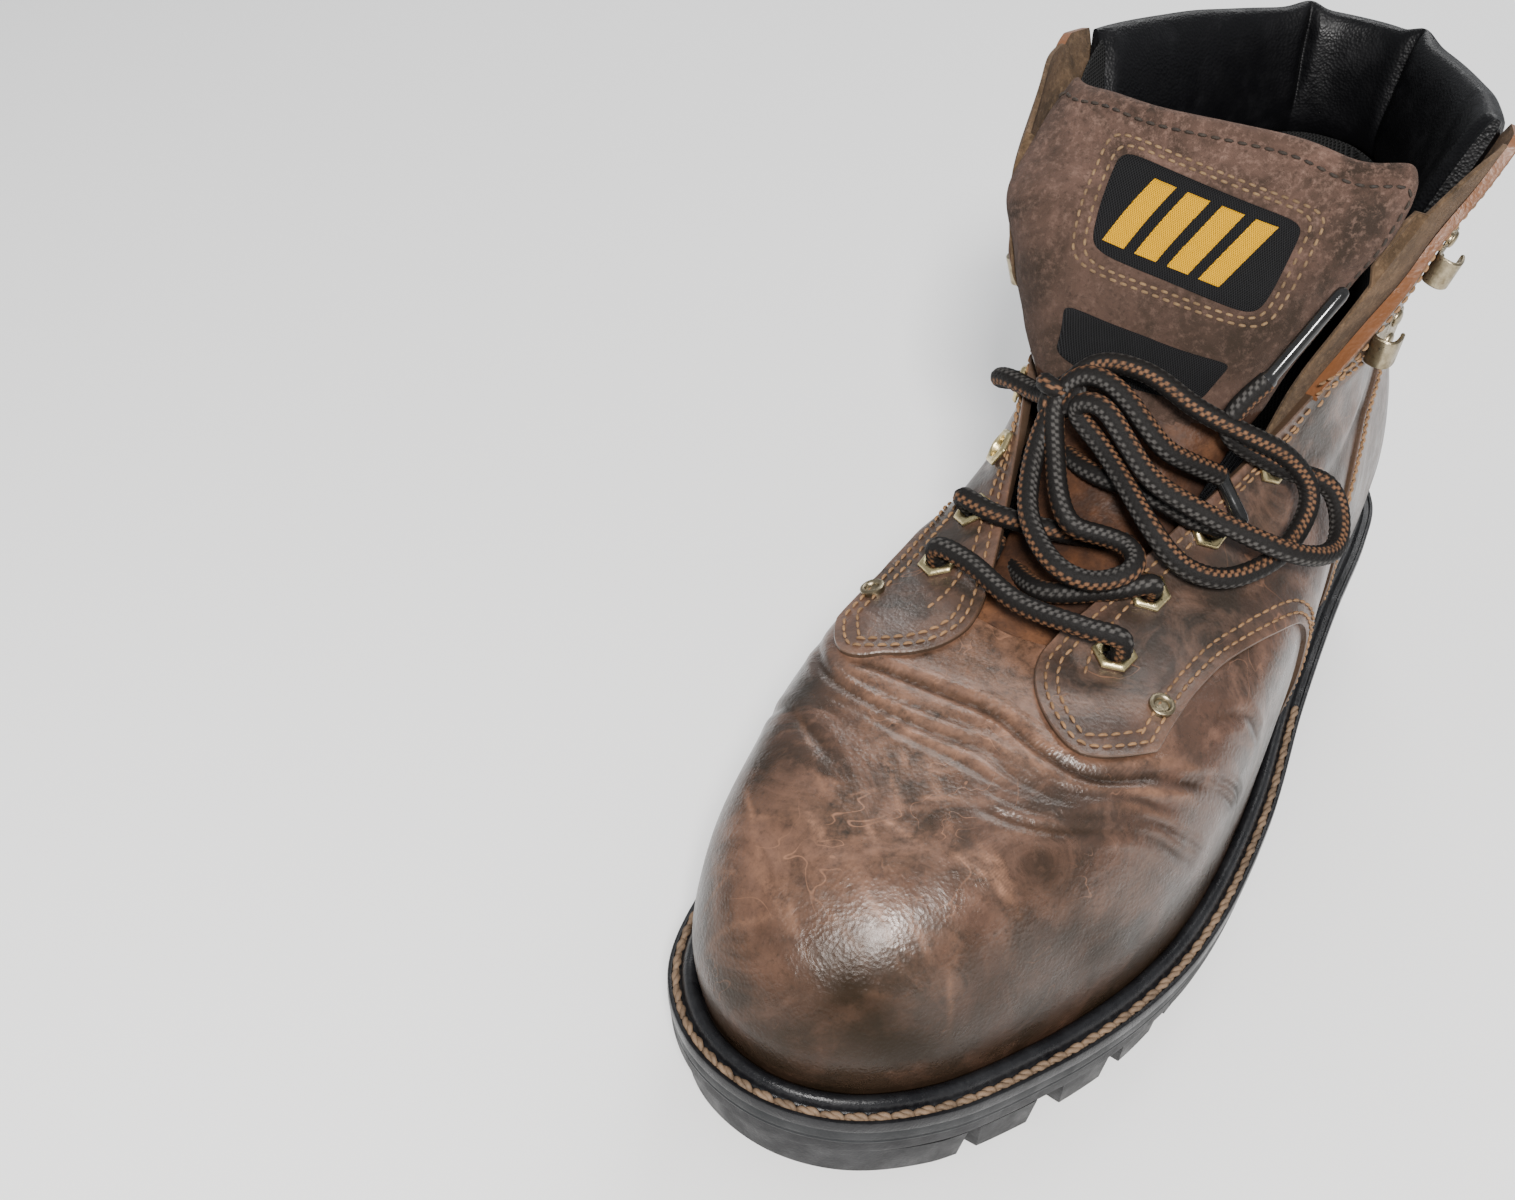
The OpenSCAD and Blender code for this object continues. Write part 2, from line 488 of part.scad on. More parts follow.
loop_w = 18;         // across the boot
loop_h = 30;         // over its two round ends
loop_d = 10;         // front to back
loop_t = 2;          // leather of the strap
loop_top = 158;      // height of its sewn end
loop_y = 41.9;       // its front face, clear of the band
module rounded(h, d) {
    translate([-d / 2, d / 2]) square([d, h - d]);
    translate([0, d / 2]) circle(d = d, $fn = 48);
    translate([0, h - d / 2]) circle(d = d, $fn = 48);
}
module pull_loop() color([0.22, 0.13, 0.09])
    translate([0, size * loop_y + loop_d / 2, size * loop_top - loop_h])
    rotate([90, 0, 90]) translate([0, 0, -loop_w / 2 - 2]) linear_extrude(loop_w) difference() {
        rounded(loop_h, loop_d);
        translate([0, loop_t]) rounded(loop_h - 2 * loop_t, loop_d - 2 * loop_t);
    }

outsole();
midsole();
welt();
welt_stitching();
cork_filler();
steel_shank();
insole_board();
footbed();
steel_toe_cap();
toe_cap_cushion();
heel_counter();
vamp_lining();
quarter_lining();
vamp();
quarter_lateral();
quarter_medial();
heel_foxing();
ankle_band_lateral();
ankle_band_medial();
collar_pad();
tongue();
tongue_label();
tongue_tag();
eyelets_lateral();
eyelets_medial();
hooks_lateral();
hooks_medial();
hook_rivets_lateral();
hook_rivets_medial();
vamp_rivets();
lace_laced();
lace_knot();
lace_bow_lateral();
lace_bow_medial();
aglets();
pull_loop();
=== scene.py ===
import math

import bpy
import numpy as np
from mathutils import Matrix, Vector, kdtree


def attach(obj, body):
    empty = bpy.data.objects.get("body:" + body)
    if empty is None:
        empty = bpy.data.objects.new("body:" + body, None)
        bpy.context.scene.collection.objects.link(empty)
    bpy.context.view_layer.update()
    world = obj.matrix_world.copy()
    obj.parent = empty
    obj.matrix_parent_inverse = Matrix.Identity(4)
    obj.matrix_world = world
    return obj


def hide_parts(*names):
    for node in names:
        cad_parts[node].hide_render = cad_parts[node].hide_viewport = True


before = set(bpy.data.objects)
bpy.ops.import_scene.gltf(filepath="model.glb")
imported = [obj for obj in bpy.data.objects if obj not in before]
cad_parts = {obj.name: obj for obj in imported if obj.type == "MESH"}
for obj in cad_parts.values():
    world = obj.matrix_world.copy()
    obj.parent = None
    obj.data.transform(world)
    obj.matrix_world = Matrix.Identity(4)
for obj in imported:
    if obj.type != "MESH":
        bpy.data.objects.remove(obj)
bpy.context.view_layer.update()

MM = 0.001
CHANCE = np.random.default_rng(11)

# ---- The boot's driving shapes, in millimetres, as the CAD source has them ----

HEEL_Y = 45            # where the back of the heel's sole is; distances along the sole start there
# The welt's outline: across, and the distance from the heel's back
WELT = [[0, 0], [25, 5.5], [38, 22], [43, 45], [46, 80], [51, 120], [57.5, 160], [59.5, 200],
        [55, 232], [44, 262], [30.5, 288], [14, 305], [-6, 311], [-27, 305], [-43, 288], [-51, 262],
        [-54, 232], [-48.5, 200], [-39, 160], [-34, 120], [-37, 80], [-41, 45], [-38, 22], [-25, 5.5]]
# Heights of the welt's top and of the ground side, by the distance from the heel's back
WELT_TOP = [[-15, 38], [40, 38], [75, 36.5], [115, 32], [160, 27.5], [215, 25], [255, 26.5],
            [285, 30], [325, 37.5]]
GROUND = [[-15, 3], [0, 2], [12, 0], [235, 0], [262, 1.5], [285, 5], [325, 16]]
# The upper's front and back lines as (y, z)
FRONT = [[-258, 37], [-261, 52], [-253, 68], [-234, 80], [-205, 86], [-172, 89], [-143, 96],
         [-118, 110], [-101, 129], [-88, 149], [-76, 167], [-66, 184]]
BACK = [[37, 40], [41, 56], [40, 78], [37, 100], [36, 122], [39, 147], [45, 175]]
# How the upper's section changes from the welt to the mouth
ROUND = [0, 0, 0.15, 0.45, 0.8, 1, 1]
WIDTH = [1, 1.02, 0.96, 0.82, 0.78, 0.9, 1.1]
SQUARE = [1, 1, 1, 0.95, 0.8, 0.6, 0.62]
BLUNT = [1, 1, 1, 1, 0.9, 0.8, 0.75]
EGG = [0, 0, 0, 0, 0.15, 0.3, 0.39]
TWIST = [0, 0, 0, 0, 0.1, 0.25, 0.08]
SHIFT = [0, 0, 0, 0, -2, -4, -4]
OVAL_HALF = 47         # half width of the ankle's oval
WELT_OVER = 7          # how far the welt stands out from the upper
TOE_TURN = 12          # which of the outline's points is the toe
# Places on the upper as (angle from the toe, share of the height)
EYELETS = {"lateral": [[29, 0.47], [29, 0.535], [37, 0.59], [48, 0.64]],
           "medial": [[-33, 0.48], [-36, 0.535], [-42, 0.59], [-50, 0.64]]}
HOOKS = [[64, 0.745], [70.5, 0.83]]
VAMP_RIVETS = [[46.5, 0.385], [-46.5, 0.385]]
LACE_D = 5
# Routes of the lace as (x, y, z)
LACED = [[-20, -110, 123], [-27, -104, 119], [-37, -99, 117], [-41, -94, 113], [-31, -89, 111],
         [-24, -100, 107], [-8, -115, 110], [10, -118, 111], [21, -117, 108], [27, -115, 107],
         [21, -111, 101], [12, -117, 97], [-5, -130, 101], [-21, -134, 102], [-32, -131, 101],
         [-26, -127, 92], [-17, -133, 89], [-3, -145, 94], [12, -142, 99], [20, -137, 101],
         [17, -133, 92], [12, -140, 89], [8, -149, 90], [18, -153, 86], [21, -155, 97], [12, -158, 99],
         [-4, -157, 98], [-20, -151, 99], [-30, -148, 97], [-28, -146, 86]]
BOW_LATERAL = [[-17, -112, 129], [-12, -106, 134], [0, -104, 134], [13, -104, 129], [25, -100, 124],
               [34, -94, 118], [41, -92, 109], [42, -101, 103], [40, -113, 101], [33, -124, 100],
               [24, -129, 103], [16, -129, 109], [7, -124, 114], [-3, -118, 119], [-13, -116, 126],
               [-6, -117, 130], [3, -120, 124], [11, -122, 118], [22, -121, 114], [32, -118, 110],
               [41, -115, 107], [48, -108, 103], [51, -97, 100], [48, -88, 104], [43, -87, 110],
               [35, -92, 113], [25, -98, 119], [20, -101, 124], [21, -99, 130], [25, -94, 136]]
BOW_MEDIAL = [[-19, -116, 122], [-18, -124, 116], [-13, -137, 110], [-6, -144, 106], [2, -148, 104],
              [10, -146, 103], [16, -139, 105], [12, -133, 106], [4, -134, 107], [-2, -136, 108],
              [-8, -131, 112], [-14, -122, 118], [-18, -115, 126], [-13, -111, 133], [-4, -112, 132],
              [4, -114, 127], [10, -114, 122], [16, -110, 118], [22, -105, 114]]
KNOT = [-18, -113, 126]
AGLETS = [[[25, -94, 136], [34, -78, 156]], [[22, -105, 114], [31, -108, 105]]]

# ---- Curves ----


def bend(a, b, c, d, t):
    """Smooth curve from b to c, at t from 0 to 1, with a before and d after them."""
    return 0.5 * (2 * b + (c - a) * t + (2 * a - 5 * b + 4 * c - d) * t * t
                  + (3 * b - a - 3 * c + d) * t * t * t)


def along(points, u):
    """Smooth open curve through the points, at u from 0 to 1."""
    p = np.array(points, float)
    n = len(p) - 1
    k = n * np.clip(u, 0, 1)
    i = np.minimum(k.astype(int), n - 1)
    t = k - i
    if p.ndim == 2:
        t = t[..., None]
    return bend(*(p[np.clip(i + j, 0, n)] for j in (-1, 0, 1, 2)), t)


def closed(points, m):
    """Smooth closed curve through the points, with m samples on each span."""
    p = np.array(points, float)
    spans = [np.roll(p, shift, axis=0)[:, None] for shift in (1, 0, -1, -2)]
    t = (np.arange(m) / m)[None, :, None]
    return bend(*spans, t).reshape(-1, p.shape[1])


def inset(loop, d):
    """A closed loop of the sole's outline moved in by d."""
    t = np.roll(loop, -1, axis=0) - np.roll(loop, 1, axis=0)
    side = np.stack([-t[:, 1], t[:, 0]], 1)
    return loop + d * side / np.linalg.norm(side, axis=1)[:, None]


def lookup(x, table):
    """Value at x in a table of (x, value), straight between its rows."""
    table = np.array(table, float)
    return np.interp(x, table[:, 0], table[:, 1])


def distances(points):
    """How far along a route each of its points is."""
    return np.concatenate([[0], np.cumsum(np.linalg.norm(np.diff(points, axis=0), axis=1))])


def resample(points, spacing, smooth=True):
    """Points a set distance apart along a route, as far as it divides evenly."""
    p = np.array(points, float)
    if smooth:
        p = along(p, np.linspace(0, 1, 24 * len(p)))
    gone = distances(p)
    n = max(int(round(gone[-1] / spacing)), 2)
    at = np.linspace(0, gone[-1], n + 1)
    return np.stack([np.interp(at, gone, p[:, k]) for k in range(p.shape[1])], 1)


def unit(a):
    return a / np.maximum(np.linalg.norm(a, axis=-1, keepdims=True), 1e-12)


def round_turn(sides):
    """Angles evenly round a circle."""
    return np.arange(sides) / sides * 2 * math.pi


def components(a, b, ra, rb):
    """Shares of the directions a and b in the vector whose products with them are ra and rb."""
    aa, ab, bb = (a * a).sum(-1), (a * b).sum(-1), (b * b).sum(-1)
    det = np.maximum(aa * bb - ab * ab, 1e-9)
    return (ra * bb - rb * ab) / det, (rb * aa - ra * ab) / det


def ease(a, b, x):
    """Soft step: 0 where x is at a, 1 where it is at b."""
    t = np.clip((x - a) / (b - a), 0, 1)
    return t * t * (3 - 2 * t)


# ---- The upper's surface ----

OUTLINE = closed(WELT, 8)
FEATHER = inset(OUTLINE, WELT_OVER)
HALF_COUNT = TOE_TURN * 8
LATERAL_EDGE = FEATHER[:HALF_COUNT + 1][:, ::-1]
MEDIAL_EDGE = np.vstack([FEATHER[HALF_COUNT:], FEATHER[:1]])[::-1, ::-1]
TOE_X, TOE_S = FEATHER[HALF_COUNT]
HEEL_S = FEATHER[0][1]


def welt_z(y):
    return lookup(HEEL_Y - np.asarray(y, float), WELT_TOP)


def ring_point(v, q):
    """Point of the upper at a height share within 0 to 1."""
    f = np.where(q > 180, 360 - q, np.abs(q))
    side = np.where((q > 180) | (q < 0), -1.0, 1.0)
    c, s = np.cos(np.radians(f)), np.sin(np.radians(f))
    t = (1 - c) / 2
    front, back = along(FRONT, v), along(BACK, v)
    k = np.clip(along(ROUND, v), 0, 1)
    seat = TOE_S + (HEEL_S - TOE_S) * t
    middle = TOE_X * (1 - t)
    edge = np.abs(np.where(side > 0, lookup(seat, LATERAL_EDGE), lookup(seat, MEDIAL_EDGE)) - middle)
    power = along(SQUARE, v) * (1 - t) + along(BLUNT, v) * t
    oval = np.maximum(s, 1e-4) ** power * OVAL_HALF * (1 + along(EGG, v) * c)
    x = middle * (1 - k) + along(SHIFT, v) + side * along(WIDTH, v) * (edge + (oval - edge) * k)
    y = front[..., 0] * (1 - t) + back[..., 0] * t + along(TWIST, v) * x * (1 - t)
    z = front[..., 1] * (1 - t) + back[..., 1] * t
    drop = np.maximum(1 - v / 0.25, 0) ** 1.5
    return np.stack([x, y, z + (welt_z(y) + 0.3 - 37 - 3 * t) * drop], -1)


def upper(v, q):
    """Point of the upper: v is the share of its height, q the angle from the toe, outer side positive."""
    v, q = np.broadcast_arrays(np.asarray(v, float), np.asarray(q, float))
    over = np.clip(v, 0, 1)
    here = ring_point(over, q)
    low = ring_point(np.zeros_like(v), q)
    slope = (ring_point(np.full_like(v, 0.01), q) - low) / 0.01
    return here + np.minimum(v, 0)[..., None] * slope


def across(v, q):
    return unit(upper(v, q + 1) - upper(v, q - 1))


def normal(v, q):
    up = upper(np.minimum(v + 0.01, 1), q) - upper(v - 0.01, q)
    return unit(np.cross(across(v, q), up))


# Folds that walking has pressed into the upper: points (angle, height), depth, half width
FOLDS = [([[-34, 0.36], [-24, 0.395], [-8, 0.42], [8, 0.42], [24, 0.385], [40, 0.335], [55, 0.29],
           [70, 0.19]], 1.0, 1.5),
         ([[-60, 0.26], [-44, 0.32], [-28, 0.36], [-10, 0.385], [10, 0.388], [26, 0.35], [40, 0.31]],
          0.6, 1.3),
         ([[-40, 0.345], [-24, 0.378], [-6, 0.402], [10, 0.404], [22, 0.378]], 0.35, 0.9),
         ([[-30, 0.345], [-14, 0.372], [6, 0.375], [22, 0.35], [34, 0.32]], 0.35, 0.9),
         ([[4, 0.405], [20, 0.375], [34, 0.335], [48, 0.295], [58, 0.24]], 0.4, 0.9),
         ([[0, 0.43], [14, 0.415], [28, 0.385], [38, 0.352]], 0.3, 0.8),
         ([[14, 0.36], [30, 0.322], [44, 0.285], [56, 0.235], [64, 0.17]], 0.4, 0.9),
         ([[16, 0.34], [34, 0.3], [52, 0.245], [66, 0.14]], 0.5, 1.3),
         ([[38, 0.305], [50, 0.27], [60, 0.21], [67, 0.15]], 0.35, 0.9),
         ([[50, 0.3], [60, 0.262], [68, 0.21], [74, 0.15]], 0.35, 0.9),
         ([[56, 0.29], [64, 0.25], [72, 0.19], [76, 0.13]], 0.4, 1.0),
         ([[-52, 0.2], [-38, 0.29], [-24, 0.325], [-12, 0.33]], 0.4, 1.6),
         ([[58, 0.34], [68, 0.3], [76, 0.22]], 0.5, 1.6),
         ([[-76, 0.24], [-68, 0.31], [-58, 0.345]], 0.5, 1.6),
         ([[112, 0.6], [128, 0.635], [146, 0.64], [164, 0.645]], 0.7, 3.0),
         ([[250, 0.6], [234, 0.635], [216, 0.64]], 0.7, 3.0),
         ([[72, 0.5], [90, 0.53], [108, 0.53]], 0.8, 4.0),
         ([[288, 0.5], [272, 0.54], [252, 0.54]], 0.8, 4.0)]


def fold_lines():
    made = []
    for points, depth, half in FOLDS:
        line = along(points, np.linspace(0, 1, 90))
        made.append((upper(line[:, 1], line[:, 0]), depth, half))
    return made


FOLD_LINES = fold_lines()


def nearest(points, line):
    """Distance from each point to a polyline's points, and the index of the nearest one."""
    tree = kdtree.KDTree(len(line))
    for i, p in enumerate(line):
        tree.insert(p, i)
    tree.balance()
    found = [tree.find(p)[1:] for p in points]
    index = np.array([f[0] for f in found])
    return np.array([f[1] for f in found]), index


def relief(p):
    """Height of the folds and of the leather's gentle waves at points of the upper."""
    flat = p.reshape(-1, 3)
    height = np.zeros(len(flat))
    for line, depth, half in FOLD_LINES:
        low, high = line.min(0) - 5 * half, line.max(0) + 5 * half
        close = np.all((flat > low) & (flat < high), axis=1)
        if not close.any():
            continue
        gap, index = nearest(flat[close], line)
        share = index / (len(line) - 1)
        fade = np.clip(np.minimum(share, 1 - share) * 6, 0, 1)
        x = gap / half
        height[close] += depth * fade * (0.55 * np.exp(-((x - 2.1) / 1.1) ** 2) - np.exp(-x * x))
    x, y, z = flat.T
    wave = (np.sin(x / 11 + z / 17) * np.sin(y / 14 + 1)
            + 0.6 * np.sin(x / 6.1 + y / 7.3) * np.sin(z / 8 + y / 19))
    height += 0.28 * wave * ease(38, 60, z)
    return height.reshape(p.shape[:-1])


def flare(v, q):
    """How far the open flaps of the ankle stand away from the foot, beyond the upper's own surface."""
    outer = 2.5 * ease(86, 62, q) * ease(0.7, 0.84, v) * (q > 0)
    inner = 7.5 * ease(-80, -58, q) * ease(0.7, 0.78, v) * (1 - 0.8 * ease(0.86, 0.98, v)) * (q < 0)
    return np.where(np.abs(q) > 41, outer + inner, 0)


def skin(v, q, offset, with_relief=True):
    """Point that stands offset out from the upper."""
    p = upper(v, q)
    height = np.asarray(offset, float)
    if with_relief:
        height = height + relief(p) + flare(v, q)
    return p + np.asarray(height)[..., None] * normal(v, q)


# ---- Meshes ----


def make(name, part, materials, replaces=(), body="boot", smooth=35, slots=None, attributes=None):
    """A piece from its (points, faces) in millimetres. Its faces shade smooth up to the angle given."""
    points, faces = part
    mesh = bpy.data.meshes.new(name)
    mesh.from_pydata((np.asarray(points, float) * MM).tolist(), [], [list(map(int, f)) for f in faces])
    for m in materials:
        mesh.materials.append(m)
    if slots is not None:
        mesh.polygons.foreach_set("material_index", np.asarray(slots, np.int32))
    for key, values in (attributes or {}).items():
        mesh.attributes.new(key, "FLOAT", "POINT").data.foreach_set("value", np.asarray(values, np.float32))
    mesh.polygons.foreach_set("use_smooth", np.ones(len(mesh.polygons), bool))
    mesh.set_sharp_from_angle(angle=math.radians(smooth))
    mesh.validate()
    piece = bpy.data.objects.new(name, mesh)
    bpy.context.scene.collection.objects.link(piece)
    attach(piece, body)
    if replaces:
        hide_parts(*replaces)
    return piece


def grid_faces(rows, columns, wrap_columns=False, wrap_rows=False, flip=False):
    """Quads between neighbours of a grid of points stored row by row."""
    i = np.arange(rows if wrap_rows else rows - 1)[:, None]
    j = np.arange(columns if wrap_columns else columns - 1)[None, :]
    i, j = np.broadcast_arrays(i, j)
    a = i * columns + j
    b = i * columns + (j + 1) % columns
    c = (i + 1) % rows * columns + (j + 1) % columns
    d = (i + 1) % rows * columns + j
    return np.stack([a, d, c, b] if flip else [a, b, c, d], -1).reshape(-1, 4).tolist()


def tube_faces(rings, count):
    """Faces of a stack of rings of count points each, closed at both ends."""
    last = (rings - 1) * count
    return grid_faces(rings, count, wrap_columns=True) + [list(range(count))[::-1],
                                                          [last + k for k in range(count)]]


def join(parts):
    """Several (points, faces) as one."""
    points, faces, start = [], [], 0
    for p, f in parts:
        points.append(np.asarray(p, float))
        faces += [[k + start for k in face] for face in f]
        start += len(p)
    return np.vstack(points), faces


def place(part, matrix):
    """A part set at a matrix, with its faces turned over where the matrix mirrors it."""
    points, faces = part
    if np.linalg.det(matrix[:3, :3]) < 0:
        faces = [f[::-1] for f in faces]
    return points @ matrix[:3, :3].T + matrix[:3, 3], faces


def facing(x, z, at):
    """Matrix of a place whose +X and +Z point along x and z."""
    matrix = np.eye(4)
    matrix[:3, 0], matrix[:3, 1], matrix[:3, 2], matrix[:3, 3] = x, np.cross(z, x), z, at
    return matrix


def lathe(profile, sides=32, hexagon=(), ring=False):
    """A profile of (radius, height) turned round; the listed points of it turn as a hexagon."""
    angle = round_turn(sides)
    six = np.cos(math.pi / 6) / np.cos((angle + math.pi / 6) % (math.pi / 3) - math.pi / 6)
    rings = []
    for k, (r, z) in enumerate(profile):
        reach = r * (six * 1.06 if k in hexagon else 1)
        rings.append(np.stack([reach * np.cos(angle), reach * np.sin(angle), np.full(sides, z)], 1))
    return np.vstack(rings), grid_faces(len(profile), sides, wrap_columns=True, wrap_rows=ring)


def sweep(line, section, up=(0, 0.3, 1)):
    """A section's loop of (side, up) points carried along a line, turning as little as it can."""
    t = unit(np.gradient(line, axis=0))
    w = np.zeros_like(line)
    last = np.array(up, float)
    for i in range(len(line)):
        last = last - (last @ t[i]) * t[i]
        last /= np.linalg.norm(last)
        w[i] = last
    c = np.cross(t, w)
    section = np.asarray(section, float)
    if section.ndim == 2:
        section = np.repeat(section[None], len(line), axis=0)
    points = line[:, None] + section[..., :1] * c[:, None] + section[..., 1:] * w[:, None]
    return points.reshape(-1, 3), tube_faces(len(line), section.shape[1])


# ---- Panels cut from the upper's surface ----


def outline_of(edges):
    """Closed loop of (angle, height) from edges that are each smooth and meet at corners."""
    parts = [along(e, np.linspace(0, 1, 18 * len(e)))[:-1] if len(e) > 2 else
             np.array(e[0]) + np.linspace(0, 1, 40)[:-1, None] * (np.array(e[1]) - np.array(e[0]))
             for e in edges]
    return np.vstack(parts)


def inside(loop, q, v):
    """Whether each place lies in a closed loop, by counting crossings."""
    hit = np.zeros(q.shape, bool)
    for (q0, v0), (q1, v1) in zip(loop, np.roll(loop, -1, axis=0)):
        if v0 == v1:
            continue
        crosses = (v0 > v) != (v1 > v)
        hit ^= crosses & (q < q0 + (v - v0) / (v1 - v0) * (q1 - q0))
    return hit


def edge_distance(p, line):
    """Distance from points to a closed line's segments."""
    near, index = nearest(p, line)
    best = near
    for step in (-1, 0):
        a = line[(index + step) % len(line)]
        b = line[(index + step + 1) % len(line)]
        ab = b - a
        t = np.clip(((p - a) * ab).sum(1) / np.maximum((ab * ab).sum(1), 1e-12), 0, 1)
        best = np.minimum(best, np.linalg.norm(a + t[:, None] * ab - p, axis=1))
    return best


def value_at(x, *args):
    return x(*args) if callable(x) else np.full(np.shape(args[0]), float(x))


def panel(name, edges, outer, inner, materials, replaces=(), holes=(), dq=0.5, dv=0.005, valley=0.0,
          wear=None, with_relief=True):
    """A closed shell of leather or cloth between two offsets from the upper, cut along its outline."""
    loop = outline_of(edges)
    q_low, q_high = loop[:, 0].min() - 2 * dq, loop[:, 0].max() + 2 * dq
    v_low, v_high = loop[:, 1].min() - 2 * dv, min(loop[:, 1].max() + 2 * dv, 1.0)
    qs = np.linspace(q_low, q_high, int((q_high - q_low) / dq) + 1)
    vs = np.linspace(v_low, v_high, int((v_high - v_low) / dv) + 1)
    v, q = np.meshgrid(vs, qs, indexing="ij")
    base = upper(v, q)
    flat = base.reshape(-1, 3)
    distance = edge_distance(flat, upper(loop[:, 1], loop[:, 0])).reshape(v.shape)
    sign = np.where(inside(loop, q, v), distance, -distance)
    for hq, hv in holes:
        sign = np.minimum(sign, np.linalg.norm(base - upper(hv, hq), axis=-1) - EYELET_HOLE)
    out = normal(v, q)
    height = relief(base) + flare(v, q) if with_relief else np.zeros(v.shape)
    gi, gj = np.gradient(sign)
    pi, pj = np.gradient(base, axis=(0, 1))
    along_i, along_j = components(pi, pj, gi, gj)
    away = -unit(along_i[..., None] * pi + along_j[..., None] * pj)
    scalars = np.stack([height, sign, v, q], -1)
    fields = np.concatenate([base, out, away, scalars], axis=-1)
    keep = sign > 0
    number = np.full(v.shape, -1)
    number[keep] = np.arange(keep.sum())
    made = list(fields[keep])
    rim, crossing = [], {}
    solid = keep[:-1, :-1] & keep[1:, :-1] & keep[:-1, 1:] & keep[1:, 1:]
    i, j = np.nonzero(solid)
    faces = np.stack([number[i, j], number[i, j + 1], number[i + 1, j + 1], number[i + 1, j]], 1).tolist()

    def cross_at(a, b):
        key = (a, b) if a < b else (b, a)
        if key not in crossing:
            sa, sb = sign[a], sign[b]
            t = sa / (sa - sb)
            crossing[key] = len(made)
            made.append(fields[a] * (1 - t) + fields[b] * t)
        return crossing[key]

    kept = keep[:-1, :-1].astype(int) + keep[1:, :-1] + keep[:-1, 1:] + keep[1:, 1:]
    for i, j in zip(*np.nonzero((kept > 0) & (kept < 4))):
        corners = [(i, j), (i, j + 1), (i + 1, j + 1), (i + 1, j)]
        face, cuts = [], []
        for a, b in zip(corners, corners[1:] + corners[:1]):
            if keep[a]:
                face.append(number[a])
            if keep[a] != keep[b]:
                cuts.append((len(face), cross_at(a, b), keep[a]))
                face.append(cuts[-1][1])
        faces.append(face)
        for k, (_, index, leaving) in enumerate(cuts):
            if leaving:
                rim.append((index, cuts[(k + 1) % len(cuts)][1]))
    made = np.array(made)
    base, out, away = made[:, :3], unit(made[:, 3:6]), unit(made[:, 6:9])
    height, depth, at_v, at_q = made[:, 9], made[:, 10], made[:, 11], made[:, 12]
    grow = ease(0, 0.08, at_v)
    outer_o, inner_o = value_at(outer, at_v, at_q) * grow, value_at(inner, at_v, at_q)
    dip = valley * np.exp(-((depth - 3.2) / 2.4) ** 2)
    top = base + (outer_o + height - dip)[:, None] * out
    bottom = base + (np.minimum(inner_o, outer_o - 0.6) + height)[:, None] * out
    n = len(made)
    edge = sorted(set(k for pair in rim for k in pair))
    ring = {k: 2 * n + i for i, k in enumerate(edge)}
    lip = top[edge] + 0.3 * away[edge] - 0.35 * out[edge]
    points = np.vstack([top, bottom, lip])
    sides = [[a, b, ring[b], ring[a]] for b, a in rim] + [[ring[a], ring[b], n + b, n + a] for b, a in rim]
    under = [[n + k for k in face[::-1]] for face in faces]
    slots = [0] * (len(faces) + len(sides)) + [len(materials) - 1] * len(under)
    scuff = np.exp(-np.maximum(depth, 0) / 1.3) * 0.3
    if wear is not None:
        scuff = scuff + wear(base, at_v, at_q)
    # Painted shade: the leather is marked darker towards the welt and in the hollows of the folds and waves;
    # the same attribute lowers its shine there
    painted_shade = 0.9 * ease(0.3, 0.06, at_v) + 0.75 * np.clip(-height / 0.7, 0, 1)
    attributes = {"wear": np.concatenate([scuff, 0 * scuff, scuff[edge]]),
                  "painted_shade": np.concatenate([painted_shade, 0 * painted_shade, painted_shade[edge]]),
                  "cut": np.concatenate([0 * scuff, 0 * scuff + 1, np.full(len(edge), 0.85)])}
    return make(name, (points, faces + sides + under), materials, replaces, slots=slots,
                attributes=attributes)


# ---- Stitches ----


def inward(path, gap, side):
    """A path of (angle, height) moved gap millimetres to one side along the upper."""
    q, v = path[:, 0], path[:, 1]
    p = upper(v, q)
    dq, dv = (upper(v, q + 0.5) - p) / 0.5, (upper(v + 0.004, q) - p) / 0.004
    t = unit(np.gradient(p, axis=0))
    step = side * gap * np.cross(normal(v, q), t)
    moved = path + np.stack(components(dq, dv, (step * dq).sum(1), (step * dv).sum(1)), 1)
    far = nearest(upper(moved[:, 1], moved[:, 0]), p)[0]
    return moved[far > 0.93 * gap]


def thread(length, radius):
    """One stitch, half sunk: a bead along X that rises from the leather and dives again."""
    rings, sides = 7, 8
    u = np.linspace(-1, 1, rings)
    swell = np.sqrt(np.maximum(1 - u ** 4, 0.02))
    angle = round_turn(sides)
    x = np.repeat(u * length / 2, sides)
    y = np.outer(swell * radius, np.cos(angle)).ravel()
    z = np.outer(swell * radius, np.sin(angle)).ravel() - np.repeat(radius * 0.8 * u ** 2, sides)
    return np.stack([x, y, z], 1), tube_faces(rings, sides)


def stitches_along(points, outs, pitch=3.0, length=2.3, radius=0.37):
    """Stitches laid along a line of points, each turned along it and standing on the leather."""
    gone = distances(points)
    count = int(gone[-1] / pitch)
    unit_part = thread(length, radius)
    parts = []
    for k in range(count):
        at = (k + 0.5) * pitch
        a, b = (np.array([np.interp(at + d, gone, points[:, c]) for c in range(3)]) for d in (-0.6, 0.6))
        out = unit(np.array([np.interp(at, gone, outs[:, c]) for c in range(3)]))
        x = unit(b - a)
        z = unit(out - (out @ x) * x)
        parts.append(place(unit_part, facing(x, z, (a + b) / 2 + 0.12 * z)))
    return parts


def sewn(path, gaps, offset, side, **size):
    """Rows of stitches beside a path of (angle, height), on leather that stands offset out."""
    line = along(path, np.linspace(0, 1, 40 * len(path)))
    parts = []
    for gap in gaps:
        row = inward(line, gap, side) if gap else line
        if len(row) < 4:
            continue
        v, q = row[:, 1], row[:, 0]
        grow = ease(0, 0.08, v)
        parts += stitches_along(skin(v, q, value_at(offset, v, q) * grow), normal(v, q), **size)
    return parts


# ---- Materials ----


